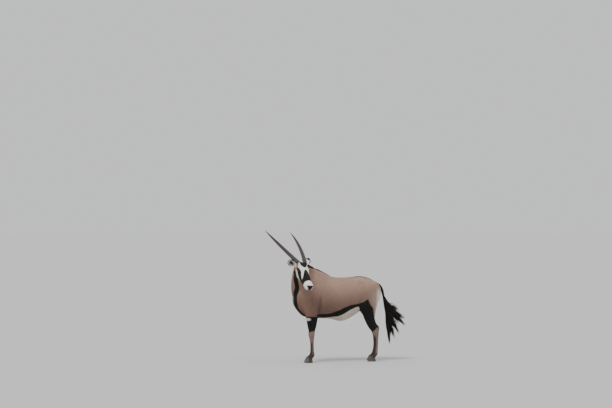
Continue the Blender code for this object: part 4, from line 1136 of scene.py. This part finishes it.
def build_horn(side, word):
    """A long horn with raised rings that fade out half way up to its smooth, sharp end."""
    frame_of_root = HEAD @ facing(side_place(HORN_ROOT, side), horn_direction(side, 0))
    point = frame_of_root @ Vector((0, 0, HORN_COLLAR + 0.0003))
    rings, colours = [], []
    draw = random.Random(30 + side)
    heights = [draw.uniform(0.7, 1.25) for _ in range(HORN_RINGS + 2)]
    start = point - AXES @ horn_direction(side, 0) * 0.020
    for k in range(-8, HORN_STEPS + 1):
        share = max(k, 0) / HORN_STEPS
        way = AXES @ horn_direction(side, share)
        if k > 0:
            point = point + (AXES @ horn_direction(side, (k - 0.5) / HORN_STEPS)) * (HORN_REACH / HORN_STEPS)
        place = start + (point - start) * ((k + 8) / 8) if k < 0 else point
        radius = HORN_RADIUS * 0.95 * (1 - 0.42 * share - 0.50 * share ** 4)
        if k == HORN_STEPS:
            radius = 0.0010
        ringed = share / 0.56
        count = ringed ** 0.92 * HORN_RINGS
        turned = facing(place, way, HEAD.col[2].to_3d())
        ring, shade = [], []
        for j in range(HORN_SIDES):
            angle = 2 * math.pi * j / HORN_SIDES
            phase = count + 0.16 * math.cos(angle + 0.6)
            wave = (0.5 + 0.5 * math.cos(2 * math.pi * phase)) ** 1.6
            height = heights[min(max(int(phase + 0.5), 0), HORN_RINGS + 1)]
            fade = max(0.0, 1 - max(ringed, 0)) ** 0.6 * min(1.0, max(k, 0) / 14)
            rise = (0.056 * wave * height - 0.028) * fade * (0.8 + 0.2 * math.cos(angle))
            r = radius * (1 + rise)
            ring.append(turned @ Vector((r * math.sin(angle), r * math.cos(angle), 0)))
            shade.append(0.5 + (wave - 0.5) * fade)
        rings.append(ring)
        colours.append((share, shade))
    horn = loft(f"horn_shell_{word}", rings)
    # Paler on the rings' crests and darker in the grooves between them, and darker towards the tip
    paler, deep = linear(HORN_CREST), linear(HORN_GROOVE)
    shades = []
    for share, shade in colours:
        for value in shade:
            base = deep + (paler - deep) * (0.15 + 0.55 * value)
            shades.append(base * (1 - 0.25 * share))
    set_colours(horn.data, np.array(shades))
    return horn


def build_hoof(node):
    """A claw with rounded edges, its top drawn up under the skin."""
    hoof = copy_of_node(node)
    hoof.name = node + "_shell"
    work = opened(hoof.data)
    bmesh.ops.remove_doubles(work, verts=work.verts, dist=1e-5)
    bmesh.ops.dissolve_limit(work, angle_limit=math.radians(2), verts=work.verts, edges=work.edges)
    high = max(v.co.z for v in work.verts)
    low = min(v.co.z for v in work.verts)
    sharp = [e for e in work.edges if len(e.link_faces) == 2 and e.calc_face_angle() > math.radians(40)]
    bmesh.ops.bevel(work, geom=sharp, offset=0.0022, segments=3, profile=0.6, affect="EDGES")
    bmesh.ops.triangulate(work, faces=work.faces)
    written(work, hoof.data)
    subdivide = hoof.modifiers.new("fine", "SUBSURF")
    subdivide.subdivision_type = "SIMPLE"
    subdivide.levels = subdivide.render_levels = 2
    bake(hoof)
    mesh = hoof.data
    points = points_of(mesh)
    normals = normals_of(mesh)
    height = (points[:, 2] - low) / (high - low)
    grow = np.sin(height * 46 + 1.2 * grain(points, 60, 12)) * 0.00022
    points += normals * (grow * band(height, 0.1, 0.9, 0.08))[:, None]
    points[:, 2] += 0.006 * ramp(height, 0.80, 1.0) * (normals[:, 2] > 0.3)
    set_points(mesh, points)
    dark, paler = linear(CLAW_DARK), linear(CLAW_WORN)
    share = np.clip(0.25 + 0.3 * grain(points, 90, 5) + 0.5 * (1 - ramp(height, 0.0, 0.25)), 0, 1)
    set_colours(mesh, dark + share[:, None] * (paler - dark))
    mesh.shade_smooth()
    mesh.set_sharp_from_angle(angle=math.radians(50))
    return hoof


def eye_frame(side):
    return HEAD @ facing(side_place(EYE_PLACE, side), side_place(EYE_AXIS, side), Vector((0, 0, 1)))


def build_eye(side, word):
    """A dark eye with a level oval pupil in a brown iris."""
    turned = eye_frame(side)
    work = bmesh.new()
    bmesh.ops.create_uvsphere(work, u_segments=64, v_segments=48, radius=EYE_RADIUS)
    own = [v.co.copy() for v in work.verts]
    work.transform(turned)
    eye = new_piece(work, f"eyeball_{word}")
    own = np.array(own)
    across, up, out = own.T / EYE_RADIUS
    radius = np.hypot(across, up)
    colour = np.tile(linear(EYE_EDGE), (len(own), 1))
    iris = (1 - ramp(radius, 0.60, 0.68)) * (out > 0)
    colour = over(colour, iris, IRIS)
    colour = over(colour, (1 - ramp(radius, 0.30, 0.56)) * 0.5 * (out > 0), IRIS_GLOW)
    pupil = (1 - ramp(np.hypot(across / 0.44, up / 0.26), 0.85, 1.0)) * (out > 0)
    colour = over(colour, pupil, PUPIL)
    set_colours(eye.data, colour)
    eye.data.shade_smooth()
    return eye


LID_STEPS = 72
LID_THICK = 0.0021
LASHES = 90


def almond(k, count, grow):
    """A point of the almond-shaped opening of the lids."""
    angle = 2 * math.pi * k / count
    across = math.cos(angle)
    up = math.sin(angle) * (1 - 0.35 * across * across)
    return EYE_OPENING[0] * across * grow, EYE_OPENING[1] * up * grow + 0.001


def build_lids(side, word):
    """The dark rim of the lids, and lashes on the upper one."""
    turned = eye_frame(side)
    count = LID_STEPS
    centre = []
    for k in range(count):
        a, b = almond(k, count, 1.02)
        reach = EYE_RADIUS + LID_THICK
        out = math.sqrt(max(reach * reach - a * a - b * b, 0.0))
        centre.append(Vector((a, b, out)))
    work = bmesh.new()
    loops = []
    for k, point in enumerate(centre):
        along = (centre[(k + 1) % count] - centre[k - 1]).normalized()
        out = point.normalized()
        across = along.cross(out).normalized()
        loops.append([work.verts.new(turned @ (point + across * LID_THICK * math.cos(t)
                                               + out * LID_THICK * math.sin(t)))
                      for t in np.linspace(0, 2 * math.pi, 11)[:10]])
    for k in range(count):
        low, high = loops[k], loops[(k + 1) % count]
        for j in range(10):
            work.faces.new((low[j], low[(j + 1) % 10], high[(j + 1) % 10], high[j]))
    bmesh.ops.recalc_face_normals(work, faces=work.faces)
    draw = random.Random(50 + side)
    for _ in range(LASHES):
        k = draw.randint(int(count * 0.04), int(count * 0.46))
        point = centre[k]
        out = point.normalized()
        way = (out * 1.1 + Vector((point.x * 26 + draw.gauss(0, 0.12), 0.35, 0.0))).normalized()
        length = draw.uniform(0.005, 0.0095)
        across = way.cross(out).normalized() * 0.00032
        base = [work.verts.new(turned @ (point + o)) for o in (across, -across, out * 0.0007)]
        tip = work.verts.new(turned @ (point + way * length - Vector((0, 0.18, 0)) * length))
        work.faces.new(base[::-1])
        for i in range(3):
            work.faces.new((base[i], base[(i + 1) % 3], tip))
    lids = new_piece(work, f"lids_{word}")
    set_colours(lids.data, np.tile(linear(LID_DARK), (len(lids.data.vertices), 1)))
    lids.data.shade_smooth()
    return lids


# Materials

def new_material(name, roughness):
    material = bpy.data.materials.new(name)
    material.use_nodes = True
    tree = material.node_tree
    shader = tree.nodes["Principled BSDF"]
    shader.inputs["Roughness"].default_value = roughness
    return material, tree, shader


def node(tree, kind, **values):
    made = tree.nodes.new(kind)
    for key, value in values.items():
        if key in made.inputs:
            made.inputs[key].default_value = value
        else:
            setattr(made, key, value)
    return made


def coloured_material(name, roughness, mottle, mottle_scale, bump_scale, bump_strength, stretch=(1, 1, 1),
                      sheen=0.0, distance=0.001, specular=0.5):
    """Colour from the piece's own attribute, mottled, with uneven roughness and a fine bump."""
    material, tree, shader = new_material(name, roughness)
    colour = node(tree, "ShaderNodeAttribute", attribute_name="coat_colour")
    place = node(tree, "ShaderNodeTexCoord")
    mapping = node(tree, "ShaderNodeMapping", Scale=stretch)
    tree.links.new(place.outputs["Object"], mapping.inputs["Vector"])
    patches = node(tree, "ShaderNodeTexNoise", Scale=mottle_scale, Detail=4.0)
    tree.links.new(place.outputs["Object"], patches.inputs["Vector"])

    def spread(low, high):
        made = node(tree, "ShaderNodeMapRange")
        for socket, value in (("From Min", 0.25), ("From Max", 0.75), ("To Min", low), ("To Max", high)):
            made.inputs[socket].default_value = value
        tree.links.new(patches.outputs["Fac"], made.inputs["Value"])
        return made.outputs["Result"]

    scale = node(tree, "ShaderNodeVectorMath", operation="SCALE")
    tree.links.new(colour.outputs["Color"], scale.inputs[0])
    tree.links.new(spread(1 - mottle, 1 + mottle), scale.inputs["Scale"])
    tree.links.new(scale.outputs["Vector"], shader.inputs["Base Color"])
    tree.links.new(spread(roughness * 0.88, min(roughness * 1.12, 1.0)), shader.inputs["Roughness"])
    grains = node(tree, "ShaderNodeTexNoise", Scale=bump_scale, Detail=3.0)
    tree.links.new(mapping.outputs["Vector"], grains.inputs["Vector"])
    bump = node(tree, "ShaderNodeBump", Strength=bump_strength, Distance=distance)
    tree.links.new(grains.outputs["Fac"], bump.inputs["Height"])
    tree.links.new(bump.outputs["Normal"], shader.inputs["Normal"])
    shader.inputs["Sheen Weight"].default_value = sheen
    shader.inputs["Sheen Roughness"].default_value = 0.5
    shader.inputs["Specular IOR Level"].default_value = specular
    return material


def paint(piece, material):
    piece.data.materials.clear()
    piece.data.materials.append(material)


# Stage, light and camera

CAMERA_TURN = math.radians(22)
CAMERA_RISE = math.radians(3.5)
CAMERA_DISTANCE = 40.0
PHOTO_SIZE = (612, 408)
FOCAL_PIXELS = 3120.0
ORIGIN_PIXEL = (337.4, 361.7)
FLOOR_TONE = 0.56
SKY_STRENGTH = 0.82
SKY_TINT = (0.97, 0.98, 1.0, 1)
SUN_TINT = (1.0, 0.975, 0.94)

# Each lamp: name, way towards it, strength, how many degrees wide it looks
SUNS = (("key", (-0.62, -0.62, 1.05), 2.35, 22), ("fill", (0.9, -0.5, 0.5), 0.35, 60))


def build_camera():
    """Far away and level, as the photograph was taken, with the animal's ground point at its pixel."""
    toward = Vector((-math.sin(CAMERA_TURN) * math.cos(CAMERA_RISE),
                     -math.cos(CAMERA_TURN) * math.cos(CAMERA_RISE),
                     math.sin(CAMERA_RISE)))
    ray = Vector((ORIGIN_PIXEL[0] - PHOTO_SIZE[0] / 2, PHOTO_SIZE[1] / 2 - ORIGIN_PIXEL[1],
                  -FOCAL_PIXELS)).normalized()
    pitch = math.asin(-toward.z / math.hypot(ray.y, ray.z)) - math.atan2(ray.y, -ray.z)
    level = -ray.z * math.cos(pitch) - ray.y * math.sin(pitch)
    yaw = math.atan2(ray.x, level)
    ahead = Vector((-toward.x, -toward.y, 0)).normalized()
    ahead.rotate(Matrix.Rotation(yaw, 3, "Z"))
    look = Vector((ahead.x * math.cos(pitch), ahead.y * math.cos(pitch), math.sin(pitch)))
    data = bpy.data.cameras.new("camera")
    data.sensor_width = 36
    data.lens = FOCAL_PIXELS / PHOTO_SIZE[0] * 36
    data.clip_end = 300
    camera = link("camera", data)
    camera.location = toward * CAMERA_DISTANCE + SHIFT
    camera.rotation_mode = "QUATERNION"
    camera.rotation_quaternion = look.to_track_quat("-Z", "Y")
    bpy.context.scene.camera = camera


def build_stage():
    bpy.ops.mesh.primitive_circle_add(vertices=96, radius=80, fill_type="NGON", location=(0, 0, 0))
    floor = bpy.context.object
    floor.name = "floor"
    material, tree, shader = new_material("floor", 0.9)
    place = node(tree, "ShaderNodeTexCoord")
    cloud = node(tree, "ShaderNodeTexNoise", Scale=1.3, Detail=3.0)
    tree.links.new(place.outputs["Object"], cloud.inputs["Vector"])
    tone = node(tree, "ShaderNodeMapRange")
    tone.inputs["To Min"].default_value = FLOOR_TONE * 0.985
    tone.inputs["To Max"].default_value = FLOOR_TONE * 1.015
    tree.links.new(cloud.outputs["Fac"], tone.inputs["Value"])
    tree.links.new(tone.outputs["Result"], shader.inputs["Base Color"])
    shader.inputs["Specular IOR Level"].default_value = 0.1
    paint(floor, material)
    world = bpy.data.worlds.new("studio")
    bpy.context.scene.world = world
    world.use_nodes = True
    sky = world.node_tree.nodes["Background"]
    sky.inputs["Color"].default_value = SKY_TINT
    sky.inputs["Strength"].default_value = SKY_STRENGTH


def build_lights():
    """A broad soft key from above on the camera's side, and a weak fill from behind."""
    for name, toward_light, power, angle in SUNS:
        data = bpy.data.lights.new(name, "SUN")
        data.energy = power
        data.angle = math.radians(angle)
        data.color = SUN_TINT
        lamp = link(name, data)
        lamp.rotation_mode = "QUATERNION"
        lamp.rotation_quaternion = (-Vector(toward_light)).to_track_quat("-Z", "Y")


def main():
    build_camera()
    build_stage()
    build_lights()
    share = 1.0
    skin = build_skin()
    hide = coloured_material("hide", 0.72, 0.10, 22, 260, 0.35, specular=0.25)
    hair = coloured_material("hair", 0.58, 0.06, 30, 900, 0.15, sheen=0.04, specular=0.22)
    long_hair = coloured_material("long_hair", 0.48, 0.10, 40, 700, 0.20, specular=0.30)
    horn_finish = coloured_material("horn", 0.42, 0.18, 60, 420, 0.35)
    hoof_finish = coloured_material("hoof", 0.45, 0.15, 80, 500, 0.25)
    eye_finish = coloured_material("eye", 0.06, 0.04, 80, 60, 0.02)
    lid_finish = coloured_material("lids", 0.38, 0.05, 200, 900, 0.20)
    paint(skin, hide)
    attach(skin, "root")
    legs = [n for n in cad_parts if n.startswith("leg_")]
    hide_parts("torso", "neck", "head", "ear_left", "ear_right", *legs)

    def off_head(centres):
        place = Where(centres, np.zeros_like(centres))
        return (1 - place.is_head) * (1 + 1.2 * place.is_leg)

    def on_head(centres):
        place = Where(centres, np.zeros_like(centres))
        bare = np.maximum(nose_share(place.head), eye_distance(place.head) < 0.0205)
        return place.is_head * (1 - bare)

    coat = tufts("coat", skin.data, int(BODY_TUFTS * share), off_head)
    coat += tufts("face_coat", skin.data, int(HEAD_TUFTS * share), on_head)
    for piece in coat:
        paint(piece, hair)
        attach(piece, "root")
    tree = BVHTree.FromPolygons([v.co.copy() for v in skin.data.vertices],
                                [tuple(p.vertices) for p in skin.data.polygons])
    tail_hair = build_tail_hair()
    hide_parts("tail")
    for piece in (tail_hair, build_mane(tree)):
        paint(piece, long_hair)
        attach(piece, "root")
    for side, word in ((1, "left"), (-1, "right")):
        for piece, finish, slot, replaced in (
                (build_horn(side, word), horn_finish, "horn", f"horn_{word}"),
                (build_eye(side, word), eye_finish, "eye", f"eye_{word}"),
                (build_lids(side, word), lid_finish, "coat", None)):
            paint(piece, finish)
            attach(piece, "root")
            if replaced:
                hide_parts(replaced)
    for name in [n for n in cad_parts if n.startswith("hoof_")]:
        piece = build_hoof(name)
        paint(piece, hoof_finish)
        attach(piece, "root")
        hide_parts(name)


main()
